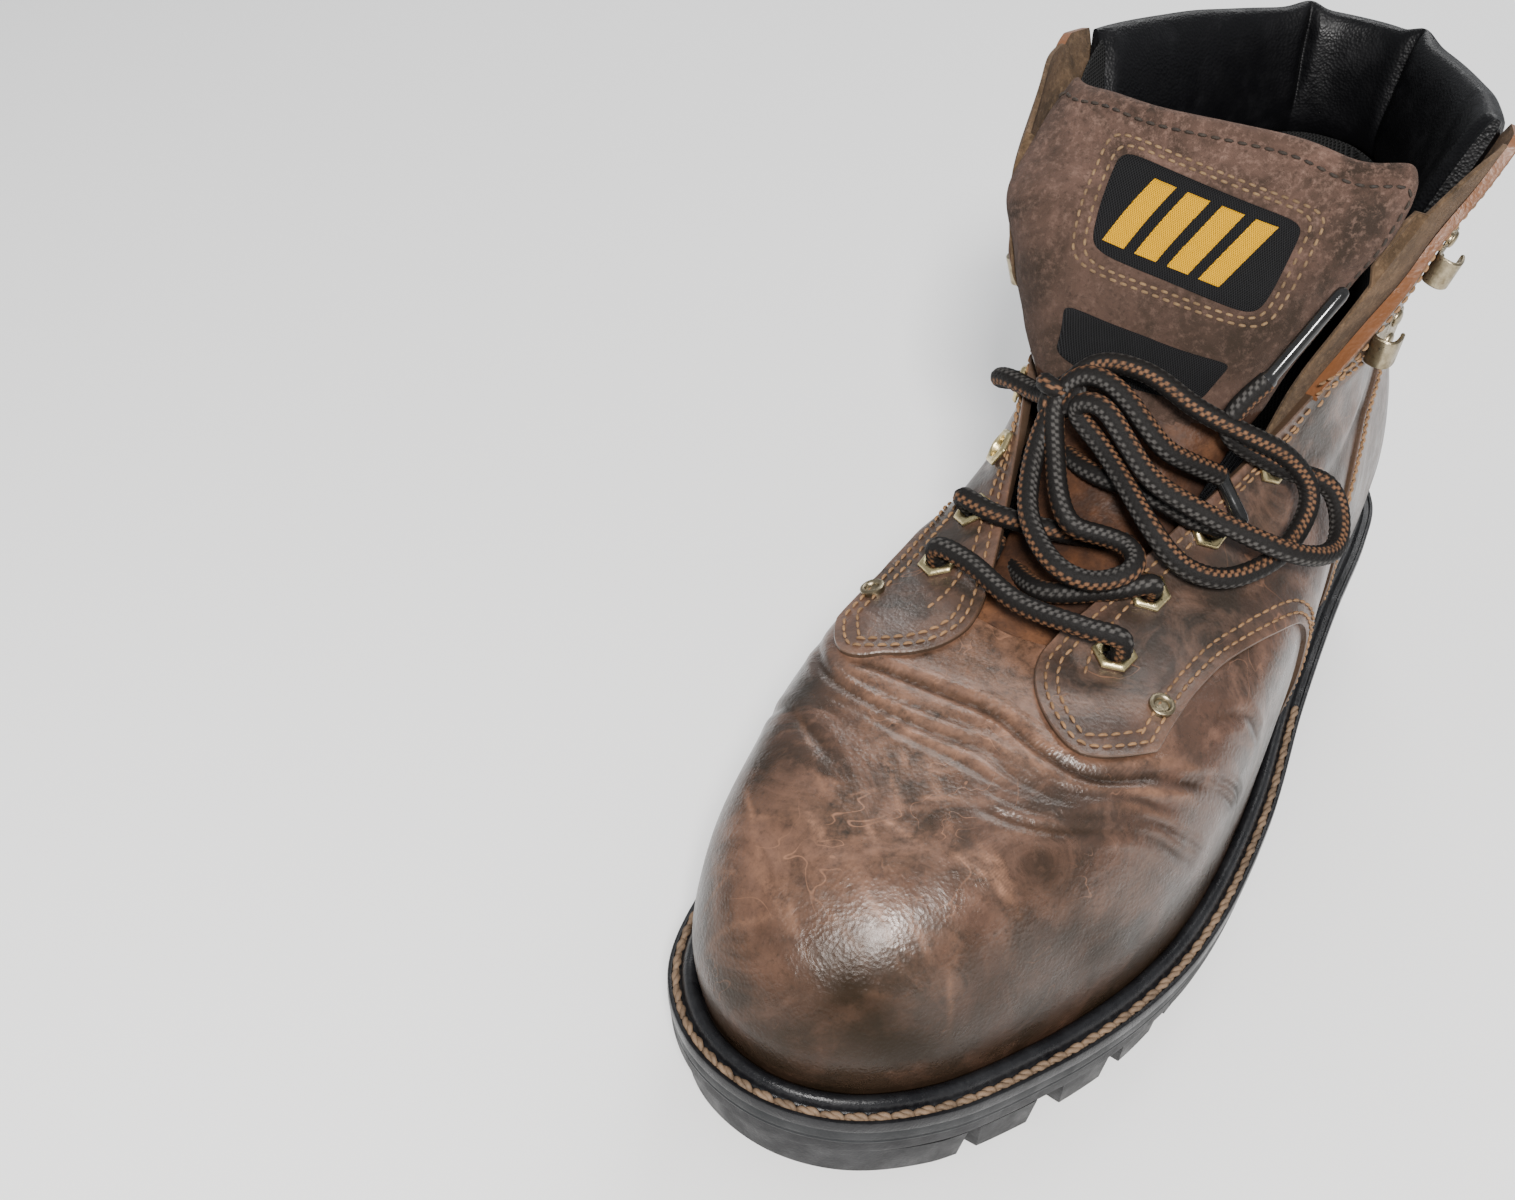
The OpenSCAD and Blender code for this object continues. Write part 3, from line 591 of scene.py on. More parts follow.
class Surface:
    """A node material, built up from short calls. Places are the object's own coordinates, in metres."""

    def __init__(self, name):
        self.material = bpy.data.materials.new(name)
        self.material.use_nodes = True
        self.tree = self.material.node_tree
        self.tree.nodes.clear()
        self.shader = self.node("BsdfPrincipled")
        out = self.node("OutputMaterial")
        self.tree.links.new(self.shader.outputs[0], out.inputs["Surface"])
        self.at = self.node("TexCoord").outputs["Object"]

    def node(self, kind, **values):
        made = self.tree.nodes.new("ShaderNode" + kind)
        self.fill(made, values)
        return made

    def fill(self, node, values):
        for key, value in values.items():
            if hasattr(node, key) and key not in node.inputs:
                setattr(node, key, value)
                continue
            socket = node.inputs[int(key[1:]) if key[0] == "i" and key[1:].isdigit() else key]
            if isinstance(value, bpy.types.NodeSocket):
                self.tree.links.new(value, socket)
            elif socket.type == "RGBA":
                socket.default_value = (*value, 1)
            else:
                socket.default_value = value

    def noise(self, scale, detail=4.0, rough=0.55, at=None, distort=0.0):
        return self.node("TexNoise", Vector=at or self.at, Scale=scale, Detail=detail, Roughness=rough,
                         Distortion=distort).outputs["Fac"]

    def cells(self, scale):
        return self.node("TexVoronoi", Vector=self.at, Scale=scale).outputs["Distance"]

    def math(self, operation, a, b=0.0):
        return self.node("Math", operation=operation, i0=a, i1=b).outputs[0]

    def times(self, a, b):
        return self.math("MULTIPLY", a, b)

    def span(self, x, a, b, low=0.0, high=1.0):
        return self.node("MapRange", i0=x, i1=a, i2=b, i3=low, i4=high).outputs[0]

    def mix(self, a, b, share):
        return self.node("Mix", data_type="RGBA", i0=share, i6=a, i7=b).outputs[2]

    def attribute(self, name):
        return self.node("Attribute", attribute_name=name).outputs["Fac"]

    def stretched(self, x, y, z):
        return self.node("Mapping", Vector=self.at, Scale=(x, y, z)).outputs[0]

    def bump(self, height, distance, under=None):
        values = {"Height": height, "Distance": distance, "Strength": 1.0}
        if under is not None:
            values["Normal"] = under
        return self.node("Bump", **values).outputs[0]

    def finish(self, colour, roughness, bump=None, shine=0.5, **plain):
        values = {"Base Color": colour, "Roughness": roughness, "Specular IOR Level": shine, **plain}
        if bump is not None:
            values["Normal"] = bump
        self.fill(self.shader, values)
        return self.material


def leather(name, dark, mid, light, scuff, cut=(0.05, 0.03, 0.018), gloss=(0.3, 0.5), patch=26.0):
    """Oiled leather: clouds of dark oil, rubbed warm streaks, thin scratches and a fine pebbled grain, with
    painted shade from a mesh attribute that also lowers its shine.
    """
    s = Surface(name)
    clouds = s.span(s.noise(patch, 5, 0.6, distort=0.9), 0.38, 0.6)
    rubbed = s.span(s.noise(patch * 1.7, 7, 0.66, distort=1.6), 0.47, 0.68)
    drawn = s.noise(patch * 9, 6, 0.7, at=s.stretched(1, 0.45, 0.8), distort=0.7)
    specks = s.noise(patch * 30, 3, 0.6)
    colour = s.mix(dark, mid, clouds)
    colour = s.mix(colour, light, s.times(rubbed, 0.75))
    colour = s.mix(colour, light, s.span(drawn, 0.55, 0.78, 0, 0.55))
    colour = s.mix(colour, dark, s.span(specks, 0.54, 0.72, 0, 0.5))
    veins = s.math("ABSOLUTE", s.math("SUBTRACT", s.noise(patch * 1.3, 2, 0.5, distort=2.2), 0.5))
    scratch = s.times(s.span(veins, 0.001, 0.006, 1, 0), s.span(s.noise(patch * 2.2, 2), 0.5, 0.62))
    worn = s.times(s.attribute("wear"), s.span(s.noise(patch * 10, 6, 0.75), 0.34, 0.62))
    colour = s.mix(colour, scuff, s.math("MINIMUM", s.math("ADD", worn, s.times(scratch, 0.5)), 0.9))
    # Painted shade: the colour turns towards the dark tone where the mesh's painted-shade attribute is set,
    # broken up by noise
    painted_shade = s.times(s.attribute("painted_shade"), s.span(s.noise(patch * 2.5, 5, 0.6), 0.25, 0.55, 0.5, 1))
    colour = s.mix(colour, dark, painted_shade)
    colour = s.mix(colour, cut, s.attribute("cut"))
    grain = s.times(s.cells(1050.0), s.span(s.noise(160, 3), 0.3, 0.7, 0.35, 1.0))
    wrinkle = s.noise(240, 6, 0.66, distort=1.0)
    fine = s.bump(grain, 0.00009, s.bump(wrinkle, 0.0002))
    rough = s.span(s.noise(patch * 4, 6, 0.65), 0.34, 0.66, gloss[0], gloss[1])
    rough = s.math("ADD", rough, s.times(s.attribute("wear"), 0.1))
    shine = s.span(s.attribute("painted_shade"), 0, 1, 0.68, 0.08)
    return s.finish(colour, rough, fine, shine, **{"Specular Tint": (1, 0.94, 0.9)})


def suede(name, dark, light, brushed):
    """Napped leather: clouded, matt, with a short brushed pile."""
    s = Surface(name)
    colour = s.mix(dark, light, s.span(s.noise(42, 6, 0.68, distort=0.9), 0.38, 0.62))
    colour = s.mix(colour, brushed, s.span(s.noise(520, 6, 0.75), 0.5, 0.7, 0, 0.5))
    colour = s.mix(colour, dark, s.span(s.noise(900, 4, 0.7), 0.54, 0.7, 0, 0.7))
    # Painted shade: darker where the mesh's painted-shade attribute is set
    colour = s.mix(colour, dark, s.times(s.attribute("painted_shade"), 0.55))
    nap = s.bump(s.noise(2600, 4, 0.7), 0.00035, s.bump(s.noise(240, 5, 0.6), 0.0007))
    sheen = {"Sheen Weight": 0.08, "Sheen Roughness": 0.5, "Sheen Tint": (0.7, 0.55, 0.5)}
    return s.finish(colour, s.span(s.noise(300, 3), 0.3, 0.7, 0.8, 0.95), nap, 0.12, **sheen)


def smooth_leather(name, tone, edge):
    """Thin black cover leather with pores and a soft shine."""
    s = Surface(name)
    colour = s.mix(tone, edge, s.span(s.noise(70, 6, 0.7), 0.52, 0.75, 0, 0.7))
    grain = s.bump(s.cells(1300.0), 0.0001, s.bump(s.noise(90, 3, 0.5), 0.0003))
    return s.finish(colour, s.span(s.noise(140, 4), 0.35, 0.65, 0.36, 0.5), grain, 0.17)


def rubber(name, tone, dust, rough, dusty):
    """Moulded rubber with dust in its pores."""
    s = Surface(name)
    grime = s.span(s.noise(48, 7, 0.7, distort=0.5), 0.42, 0.72, 0, dusty)
    colour = s.mix(tone, dust, grime)
    colour = s.mix(colour, dust, s.span(s.noise(900, 4, 0.7), 0.58, 0.8, 0, dusty * 0.7))
    pores = s.bump(s.noise(1700, 4, 0.65), 0.00012, s.bump(s.noise(120, 4), 0.0004))
    return s.finish(colour, s.span(s.noise(160, 5), 0.3, 0.7, *rough), pores, 0.27)


def metal(name, tone, dull, rough):
    """Tarnished metal with fine drawn scratches."""
    s = Surface(name)
    tarnish = s.noise(330, 6, 0.7)
    colour = s.mix(tone, dull, s.span(tarnish, 0.45, 0.7, 0, 0.85))
    scratches = s.noise(800, 3, 0.6, at=s.stretched(1, 6, 1))
    return s.finish(colour, s.span(tarnish, 0.35, 0.65, *rough), s.bump(scratches, 0.00006), Metallic=1.0)


def cloth(name, tone, thread_tone, pitch=0.0011, rough=0.9):
    """A plain weave: two sets of ribs across each other."""
    s = Surface(name)
    split = s.node("SeparateXYZ", Vector=s.at)
    turns = 2 * math.pi / pitch
    rib_a = s.math("SINE", s.times(s.math("ADD", split.outputs[0], split.outputs[1]), turns))
    rib_b = s.math("SINE", s.times(s.math("SUBTRACT", split.outputs[2], split.outputs[0]), turns))
    weave = s.math("MAXIMUM", rib_a, rib_b)
    colour = s.mix(tone, thread_tone, s.span(weave, -0.2, 1.0, 0, 0.8))
    colour = s.mix(colour, thread_tone, s.span(s.noise(90, 5, 0.7), 0.5, 0.75, 0, 0.4))
    return s.finish(colour, rough, s.bump(weave, 0.00025), 0.12)


def braid_cloth(name, ground, warm, pale):
    """A braided lace, with rows of warm and of pale strands among the dark ones."""
    s = Surface(name)
    fuzz = s.noise(2400, 4, 0.7)
    colour = s.mix(ground, warm, s.attribute("warm"))
    colour = s.mix(colour, pale, s.attribute("pale"))
    colour = s.mix(colour, ground, s.span(fuzz, 0.52, 0.75, 0, 0.6))
    return s.finish(colour, s.span(fuzz, 0.3, 0.7, 0.55, 0.8), s.bump(fuzz, 0.00018), 0.2)


def twine(name, tone, dark):
    """Sewing thread, frayed and soiled in places."""
    s = Surface(name)
    fray = s.noise(1500, 5, 0.7)
    colour = s.mix(tone, dark, s.span(s.noise(180, 4, 0.6), 0.4, 0.7, 0, 0.8))
    return s.finish(colour, s.span(fray, 0.3, 0.7, 0.5, 0.75), s.bump(fray, 0.0002), 0.3)


def plain_stuff(name, tone, speck, scale, rough, depth=0.0003):
    """Cork, board and plastic, with specks."""
    s = Surface(name)
    spots = s.noise(scale, 6, 0.7)
    colour = s.mix(tone, speck, s.span(spots, 0.42, 0.68))
    return s.finish(colour, s.span(spots, 0.3, 0.7, *rough), s.bump(spots, depth))


VAMP_LEATHER = leather("vamp_leather", (0.015, 0.01, 0.006), (0.062, 0.031, 0.02), (0.15, 0.079, 0.053),
                       (0.27, 0.135, 0.08), gloss=(0.24, 0.38))
QUARTER_LEATHER = leather("quarter_leather", (0.023, 0.017, 0.013), (0.072, 0.039, 0.028),
                          (0.14, 0.08, 0.056), (0.26, 0.125, 0.07), gloss=(0.28, 0.45))
BAND_LEATHER = leather("band_leather", (0.024, 0.017, 0.011), (0.07, 0.037, 0.023), (0.13, 0.07, 0.045),
                       (0.28, 0.125, 0.058), cut=(0.15, 0.058, 0.022))
LOOP_LEATHER = leather("loop_leather", (0.025, 0.012, 0.009), (0.07, 0.03, 0.019), (0.12, 0.055, 0.034),
                       (0.22, 0.1, 0.05))
TONGUE_LEATHER = leather("tongue_smooth_leather", (0.03, 0.016, 0.011), (0.22, 0.085, 0.034),
                         (0.3, 0.13, 0.06), (0.36, 0.17, 0.08))
TONGUE_SUEDE = suede("tongue_suede", (0.027, 0.018, 0.013), (0.115, 0.067, 0.051), (0.26, 0.162, 0.125))
FACING_SUEDE = suede("facing_suede", (0.035, 0.024, 0.014), (0.11, 0.068, 0.038), (0.22, 0.145, 0.085))
COLLAR_LEATHER = smooth_leather("collar_leather", (0.0025, 0.0025, 0.003), (0.008, 0.008, 0.009))
LINING = cloth("lining_cloth", (0.008, 0.008, 0.008), (0.022, 0.022, 0.022))
PATCH = cloth("patch_cloth", (0.006, 0.006, 0.0065), (0.02, 0.02, 0.021), 0.0007)
DEVICE = cloth("patch_device", (0.7, 0.33, 0.0), (0.9, 0.47, 0.0), 0.0006, 0.75)
LACE = braid_cloth("lace_cloth", (0.006, 0.005, 0.0045), (0.15, 0.073, 0.036), (0.06, 0.056, 0.052))
STITCH = twine("stitch_thread", (0.25, 0.14, 0.066), (0.08, 0.045, 0.022))
WELT_THREAD = twine("welt_thread", (0.17, 0.112, 0.07), (0.045, 0.03, 0.019))
WINDOW_THREAD = twine("window_thread", (0.2, 0.125, 0.062), (0.07, 0.042, 0.022))
DARK_THREAD = twine("collar_thread", (0.028, 0.02, 0.014), (0.01, 0.008, 0.007))
SOLE_RUBBER = rubber("rubber_outsole", (0.009, 0.009, 0.01), (0.036, 0.037, 0.039), (0.42, 0.7), 0.5)
MID_RUBBER = rubber("rubber_midsole", (0.009, 0.01, 0.011), (0.036, 0.037, 0.039), (0.4, 0.65), 0.5)
WELT_RUBBER = rubber("rubber_welt", (0.005, 0.005, 0.006), (0.035, 0.036, 0.038), (0.2, 0.42), 0.4)
BRASS = metal("eyelet_brass", (0.62, 0.52, 0.28), (0.3, 0.23, 0.12), (0.22, 0.45))
HOOK_METAL = metal("hook_metal", (0.32, 0.27, 0.18), (0.12, 0.09, 0.05), (0.24, 0.42))
AGLET_PLASTIC = plain_stuff("aglet_plastic", (0.008, 0.008, 0.008), (0.015, 0.015, 0.015), 300, (0.1, 0.2),
                            0.00002)

# ---- Camera ----

CAMERA_TURN = (30.74, 38.86, 2.27)         # degrees: round from the toe, up, and roll
CAMERA_TARGET = (-89.67, -130.68, 42.19)   # millimetres
CAMERA_DISTANCE = 504.26
LENS, SENSOR = 43.05, 36


def make_camera():
    azimuth, height, roll = (math.radians(a) for a in CAMERA_TURN)
    back = Vector((math.sin(azimuth) * math.cos(height), -math.cos(azimuth) * math.cos(height),
                   math.sin(height)))
    level = Vector((math.cos(azimuth), math.sin(azimuth), 0))
    up = back.cross(level)
    right = math.cos(roll) * level + math.sin(roll) * up
    up = math.cos(roll) * up - math.sin(roll) * level
    data = bpy.data.cameras.new("camera")
    data.sensor_width = SENSOR
    data.lens = LENS
    data.clip_start = 0.01
    camera = bpy.data.objects.new("camera", data)
    bpy.context.scene.collection.objects.link(camera)
    turn = Matrix((right, up, back)).transposed().to_4x4()
    stand = (Vector(CAMERA_TARGET) + back * CAMERA_DISTANCE) * MM
    camera.matrix_world = Matrix.Translation(stand) @ turn
    bpy.context.scene.camera = camera


make_camera()

# ---- Laces ----

BRAID_SIDES = 36
BRAID_STEP = 0.46      # millimetres along the lace from one ring of points to the next
BRAID_PITCH = 1.9      # and from one strand to the next
WARM_ROWS, PALE_ROWS = (1, 2, 9, 10), (5, 6, 13, 14)
RELAXING = 50          # times that a free loop's points settle towards their neighbours


def braided(name, points, replaces, radius=LACE_D / 2, relaxing=0):
    """A round braided lace along a route: its strands stand up as rows of small diamonds."""
    line = resample(points, BRAID_STEP)
    for _ in range(relaxing):
        line[1:-1] = (line[:-2] + 2 * line[1:-1] + line[2:]) / 4
    gone = np.arange(len(line)) * BRAID_STEP
    g, a = np.meshgrid(gone, round_turn(BRAID_SIDES), indexing="ij")
    one, two = 4 * a + g * math.pi / BRAID_PITCH, 4 * a - g * math.pi / BRAID_PITCH
    bump = np.sqrt(np.abs(np.cos(one) * np.cos(two)))
    r = radius * (0.92 + 0.12 * bump)
    row = (np.round(one / math.pi) + np.round(two / math.pi)) % 16
    strong = ease(0.5, 0.8, bump)
    attributes = {"warm": (np.isin(row, WARM_ROWS) * strong).ravel(),
                  "pale": (np.isin(row, PALE_ROWS) * strong).ravel()}
    part = sweep(line, np.stack([r * np.cos(a), r * np.sin(a)], -1))
    return make(name, part, [LACE], replaces, smooth=80, attributes=attributes), line


def knot_points():
    """Two tight turns of lace round the crossing, as a trefoil."""
    t = np.linspace(0, 2 * math.pi, 60)
    x = np.sin(t) + 2 * np.sin(2 * t)
    y = np.cos(t) - 2 * np.cos(2 * t)
    z = -np.sin(3 * t)
    return np.stack([x * 1.6, z * 2.2, y * 1.6], 1) + np.array(KNOT)


def aglet(name, ends):
    """A glossy sleeve with a crimp near its start and a rounded tip."""
    a, b = (np.array(p, float) for p in ends)
    length = np.linalg.norm(b - a)
    shape = [(0.2, -1.5), (2.2, -1.5), (2.25, 0.6), (1.95, 1.2), (1.8, 1.8), (1.75, length * 0.5),
             (1.8, length - 2.2), (1.5, length - 0.8), (0.8, length - 0.1), (0.1, length)]
    z = unit(b - a)
    tube = (lathe(shape, 24)[0], tube_faces(len(shape), 24))
    part = place(tube, facing(unit(np.cross([0, 1, 0.3], z)), z, a))
    return make(name, part, [AGLET_PLASTIC], ["aglets"])


def make_laces():
    tips = [aglet(f"aglet_{side}", ends) for side, ends in zip(("lateral", "medial"), AGLETS)]
    knot, _ = braided("lace_knot_turns", knot_points(), ["lace_knot"], 2.3)
    for side, route, length, on_it in (("lateral", BOW_LATERAL, 0.32, [tips[0], knot]),
                                       ("medial", BOW_MEDIAL, 0.172, [tips[1]])):
        loop, line = braided(f"lace_{side}_loop", route, [f"lace_bow_{side}"], relaxing=RELAXING)
    braided("lace_through_eyelets", LACED, ["lace_laced"])


make_laces()

# ---- Leather panels ----

VAMP = [[[104, -0.01], [101, 0.15], [93, 0.33], [80, 0.42], [69, 0.46], [59, 0.46], [49, 0.41], [36, 0.44],
         [24, 0.475], [12, 0.487], [0, 0.489], [-12, 0.487], [-24, 0.475], [-36, 0.44], [-49, 0.41],
         [-59, 0.46], [-69, 0.46], [-80, 0.42], [-93, 0.33], [-101, 0.15], [-104, -0.01]],
        [[-104, -0.01], [104, -0.01]]]
QUARTER_LOBE = [[12, 0.5], [10.8, 0.475], [14, 0.447], [22, 0.412], [34, 0.367], [49, 0.335]]
QUARTER_ARC = [[49, 0.335], [50.5, 0.362], [53.5, 0.388], [59, 0.402], [69, 0.388], [80, 0.345], [90, 0.25],
               [96, 0.12], [99.5, -0.01]]
QUARTER_FACING = [[50.3, 0.7], [36, 0.64], [24, 0.58], [16, 0.53], [12, 0.5]]
QUARTER = [QUARTER_LOBE, QUARTER_ARC, [[99.5, -0.01], [124, -0.01]],
           [[124, -0.01], [126, 0.3], [140, 0.44], [160, 0.48], [180.2, 0.49]],
           [[180.2, 0.49], [180.2, 0.735]], [[180.2, 0.735], [57, 0.735]], [[57, 0.735], [50.3, 0.7]],
           QUARTER_FACING]
BAND_FRONT = [[50.3, 0.7], [58, 0.78], [63, 0.87], [65.5, 0.94], [67.5, 0.975], [70.5, 0.992]]
BAND_FLAP = [[78.5, 0.99], [81.5, 0.94], [86, 0.88], [90, 0.838]]
BAND_STRIP = [[90, 0.838], [98, 0.825], [120, 0.81], [150, 0.802], [180.2, 0.8]]
BAND_LOW = [[180.2, 0.708], [140, 0.708], [90, 0.708], [60, 0.704], [50.3, 0.7]]
BAND_TOP = [[70.5, 0.992], [78.5, 0.99]]
BAND = [BAND_FRONT, BAND_TOP, BAND_FLAP, BAND_STRIP, [[180.2, 0.8], [180.2, 0.708]], BAND_LOW]
FOXING_SIDE = [[119, -0.01], [113.5, 0.14], [105, 0.3], [100, 0.37], [98.8, 0.415], [102, 0.46], [111, 0.5],
               [126, 0.545], [145, 0.588], [180, 0.62]]
FOXING = [FOXING_SIDE, [[360 - q, v] for q, v in FOXING_SIDE[::-1]], [[241, -0.01], [119, -0.01]]]
LINING_SIDE = [[[40, 0.46], [60, 0.45], [80, 0.4], [100, 0.1], [104, 0.03]], [[104, 0.03], [256, 0.03]],
               [[256, 0.03], [260, 0.1], [280, 0.4], [300, 0.45], [320, 0.46]],
               [[320, 0.46], [308, 0.68], [296, 0.9], [282, 0.97]],
               [[282, 0.97], [272, 0.84], [260, 0.8], [100, 0.8], [88, 0.84], [78, 0.97]],
               [[81, 0.9], [77, 0.8], [62, 0.68], [40, 0.46]]]
VAMP_LINING = [[[96, 0.01], [92, 0.25], [80, 0.38], [60, 0.42], [36, 0.42], [12, 0.46], [-12, 0.46],
                [-36, 0.42], [-60, 0.42], [-80, 0.38], [-92, 0.25], [-96, 0.01]], [[-96, 0.01], [96, 0.01]]]
FACING = [[[43, 0.64], [43.5, 0.75], [41.5, 0.83], [39, 0.9]], [[39, 0.9], [50, 0.965], [60, 0.98]],
          [[60, 0.98], [68, 0.97], [79, 0.86]], [[79, 0.86], [79, 0.72]],
          [[79, 0.72], [60, 0.66], [43, 0.64]]]
EYELET_ROW = [[52, 0.672], [38, 0.605], [31, 0.555], [25, 0.52], [23, 0.48], [25, 0.445]]
QUARTER_OUT, FOXING_OUT = 1.5, 2.7       # how far the leather stands out from the vamp's surface
EYELET_HOLE = 3.3                        # its radius


def band_out(v, q):
    """How far the ankle band stands out, more over the quarter's edge."""
    return 2.8 - 1.1 * ease(0.76, 0.85, v) * (1 - ease(88, 96, np.abs(q)))


def toe_scuffs(p, v, q):
    """Scratches and rubbed places on the toe, and lighter ridges beside the folds."""
    x, y, z = p.T
    marks = np.zeros(len(p))
    for _ in range(46):
        angle = CHANCE.uniform(-0.9, 0.9)
        cx, cy = CHANCE.uniform(-40, 34), CHANCE.uniform(-258, -205)
        u = (x - cx) * math.cos(angle) + (y - cy) * math.sin(angle)
        w = (y - cy) * math.cos(angle) - (x - cx) * math.sin(angle)
        length, width = CHANCE.uniform(2, 9), CHANCE.uniform(0.4, 0.9)
        marks += CHANCE.uniform(0.3, 0.9) * np.exp(-(u / length) ** 2 - (w / width) ** 2) * (z > 45)
    marks += 0.35 * np.exp(-((x + 8) / 26) ** 2 - ((y + 236) / 18) ** 2) * (z > 60)
    marks += 0.5 * ease(0.33, 0.4, v) * ease(58, 34, np.abs(q))
    return np.clip(marks, 0, 1) + np.clip(relief(p) - 0.2, 0, 1) * 0.8


def side_scuffs(p, *_):
    """Rubbed ridges beside the folds."""
    return np.clip(relief(p) - 0.3, 0, 1) * 0.7


def make_panels():
    panel("vamp_panel", VAMP, 0, -1.6, [VAMP_LEATHER, LINING], ["vamp"], dv=0.003,
          wear=toe_scuffs)
    for side, flip in (("lateral", 1), ("medial", -1)):
        quarter, band, strip = ([[[flip * q, v] for q, v in edge] for edge in edges]
                                for edges in (QUARTER, BAND, FACING))
        panel(f"quarter_{side}_panel", quarter, QUARTER_OUT, -0.9, [QUARTER_LEATHER, FACING_SUEDE],
              [f"quarter_{side}"], EYELETS[side], valley=0.35, wear=side_scuffs)
        panel(f"ankle_band_{side}_panel", band, band_out, -0.9, [BAND_LEATHER, FACING_SUEDE],
              [f"ankle_band_{side}"], valley=0.3, wear=side_scuffs)
        panel(f"facing_{side}_gusset", strip, -1.1, -2.3, [FACING_SUEDE])
    panel("heel_foxing_panel", FOXING, FOXING_OUT, 0.8, [QUARTER_LEATHER],
          ["heel_foxing"], valley=0.35, wear=side_scuffs)
    panel("vamp_lining_cloth", VAMP_LINING, -5, -6, [LINING], ["vamp_lining"], dq=1.5,
          dv=0.015, with_relief=False)
    panel("quarter_lining_cloth", LINING_SIDE, -5, -6, [LINING], ["quarter_lining"], dq=1.5,
          dv=0.012, with_relief=False)


make_panels()

# Each sewn edge: its path, the gaps of its rows, how far its leather stands out, and the rows' side
SEAMS = ((QUARTER_LOBE, (2.2, 4.8), QUARTER_OUT, 1), (QUARTER_ARC, (2.2, 4.8), QUARTER_OUT, 1),
         (QUARTER_FACING, (2.4,), QUARTER_OUT, 1), (EYELET_ROW, (0,), QUARTER_OUT, 1),
         (BAND_FRONT, (2.4,), band_out, -1), (BAND_TOP, (2.4,), band_out, -1),
         (BAND_FLAP, (2.2, 4.6), band_out, -1), (BAND_STRIP, (2.2,), band_out, -1),
         (BAND_LOW, (2.2, 4.8), band_out, -1))


def make_upper_stitches():
    parts = []
    for flip in (1, -1):
        for path, gaps, stands_out, side in SEAMS:
            parts += sewn([[flip * q, v] for q, v in path], gaps, stands_out, flip * side)
    parts += sewn(FOXING_SIDE, (2.2, 4.8), FOXING_OUT, -1)
    parts += sewn([[360 - q, v] for q, v in FOXING_SIDE], (2.2, 4.8), FOXING_OUT, 1)
    make("upper_stitches", join(parts), [STITCH])


make_upper_stitches()

# ---- Collar ----

# Where the ankle has folded the padded roll: angle, depth of the crease and its half width in degrees
COLLAR_FOLDS = ((99, 0.5, 5), (150, 3.2, 5), (203, 3.0, 5), (246, 0.4, 6))


def make_collar():
    """A fat padded roll round the back of the mouth, creased where the ankle folds it."""
    columns, rows = 360, 48
    turn = np.linspace(0, 2 * math.pi, rows, endpoint=False)
    c, s = np.cos(turn), np.sin(turn)
    squircle = (np.abs(c) ** 3 + np.abs(s) ** 3) ** (-1 / 3)
    inner = np.clip(-c, 0, 1)
    points = []
    for angle in np.linspace(77, 283, columns):
        end = ease(0, 6, min(angle - 77, 283 - angle) + 0.6)
        low, high = upper(0.79, angle), upper(0.995, angle)
        out = normal(0.9, angle)
        tall = np.linalg.norm(high - low) / 2
        wide = 5.0 * (0.35 + 0.65 * end)
        groove = peak = 0.0
        for at, depth, half in COLLAR_FOLDS:
            x = (angle - at) / half
            groove += depth * math.exp(-abs(x) ** 1.3 * 2.2)
            peak += depth * math.exp(-x * x * 0.5)
        soft = 0.5 * math.sin(angle / 9.0) + 0.35 * math.sin(angle / 5.3 + 1)
        reach = wide * squircle * c + (soft - 1.0) * np.clip(c, 0, 1) * 0.6
        reach = reach + inner * (1.1 * groove - 0.5 * soft) * (0.35 + 0.65 * np.clip(s + 0.6, 0, 1))
        rise = tall * squircle * s + np.clip(s, 0, 1) ** 3 * (0.75 * peak - 0.6 * groove * inner - 1.2)
        # The lower edge narrows where it is sewn under the band
        reach = reach * (1 - 0.45 * np.clip(-s, 0, 1) ** 3)
        middle = (low + high) / 2 - 3.4 * out
        points.append(middle + reach[:, None] * out + rise[:, None] * unit(high - low))
    part = (np.vstack(points), tube_faces(columns, rows))
    pad = make("collar_padding", part, [COLLAR_LEATHER], ["collar_pad"], smooth=60)


make_collar()

# ---- Tongue ----

TONGUE_HALF = [[0.44, 14], [0.55, 24], [0.62, 33], [0.7, 41], [0.78, 41], [0.86, 39], [0.95, 36.5], [1, 34]]
TONGUE_DEPTH = [[0.44, -7], [0.5, -6], [0.62, -5], [0.7, -3.6], [0.78, -1.6], [0.88, -0.3], [1, 0]]
TONGUE_LOW, TONGUE_T, SUEDE_FROM = 0.445, 4.0, 0.7
# Corners as (height, share of the tongue's half width): low inner, low outer, high outer, high inner
LABEL = [(0.84, -0.28), (0.803, 0.34), (0.903, 0.31), (0.941, -0.26)]
WINDOW = [(0.822, -0.39), (0.789, 0.46), (0.918, 0.4), (0.957, -0.34)]
TAG = [(0.724, -0.53), (0.721, 0.34), (0.758, 0.38), (0.78, -0.42)]
PATCH_LIFT, PATCH_THICK = 0.75, 1.1
BAR_LIFT, BAR_THICK = 1.4, 0.7
# Slanting bars of the label's device: from and to, as shares of the label's width
BARS = [(-0.72, -0.48), (-0.36, -0.12), (0, 0.24), (0.36, 0.6)]


def tongue_place(v, share):
    """Point of the tongue's face and its outward direction."""
    q = share * lookup(v, TONGUE_HALF) * (1 + 0.16 * ease(0, -1, share) * ease(0.66, 0.74, v))
    wave = 0.5 * np.sin(v * 34 + share * 2.6) * ease(0.7, 0.8, v) + 0.35 * np.sin(v * 71 - share * 4)
    bulge = 7.5 * ease(-0.2, -1, share) * ease(0.64, 0.73, v) * ease(0.98, 0.84, v)
    lean = -4 * ease(0.86, 1, v) * ease(0.5, -1, share)
    return skin(v, q, lookup(v, TONGUE_DEPTH) + wave + bulge + lean, with_relief=False), normal(v, q)


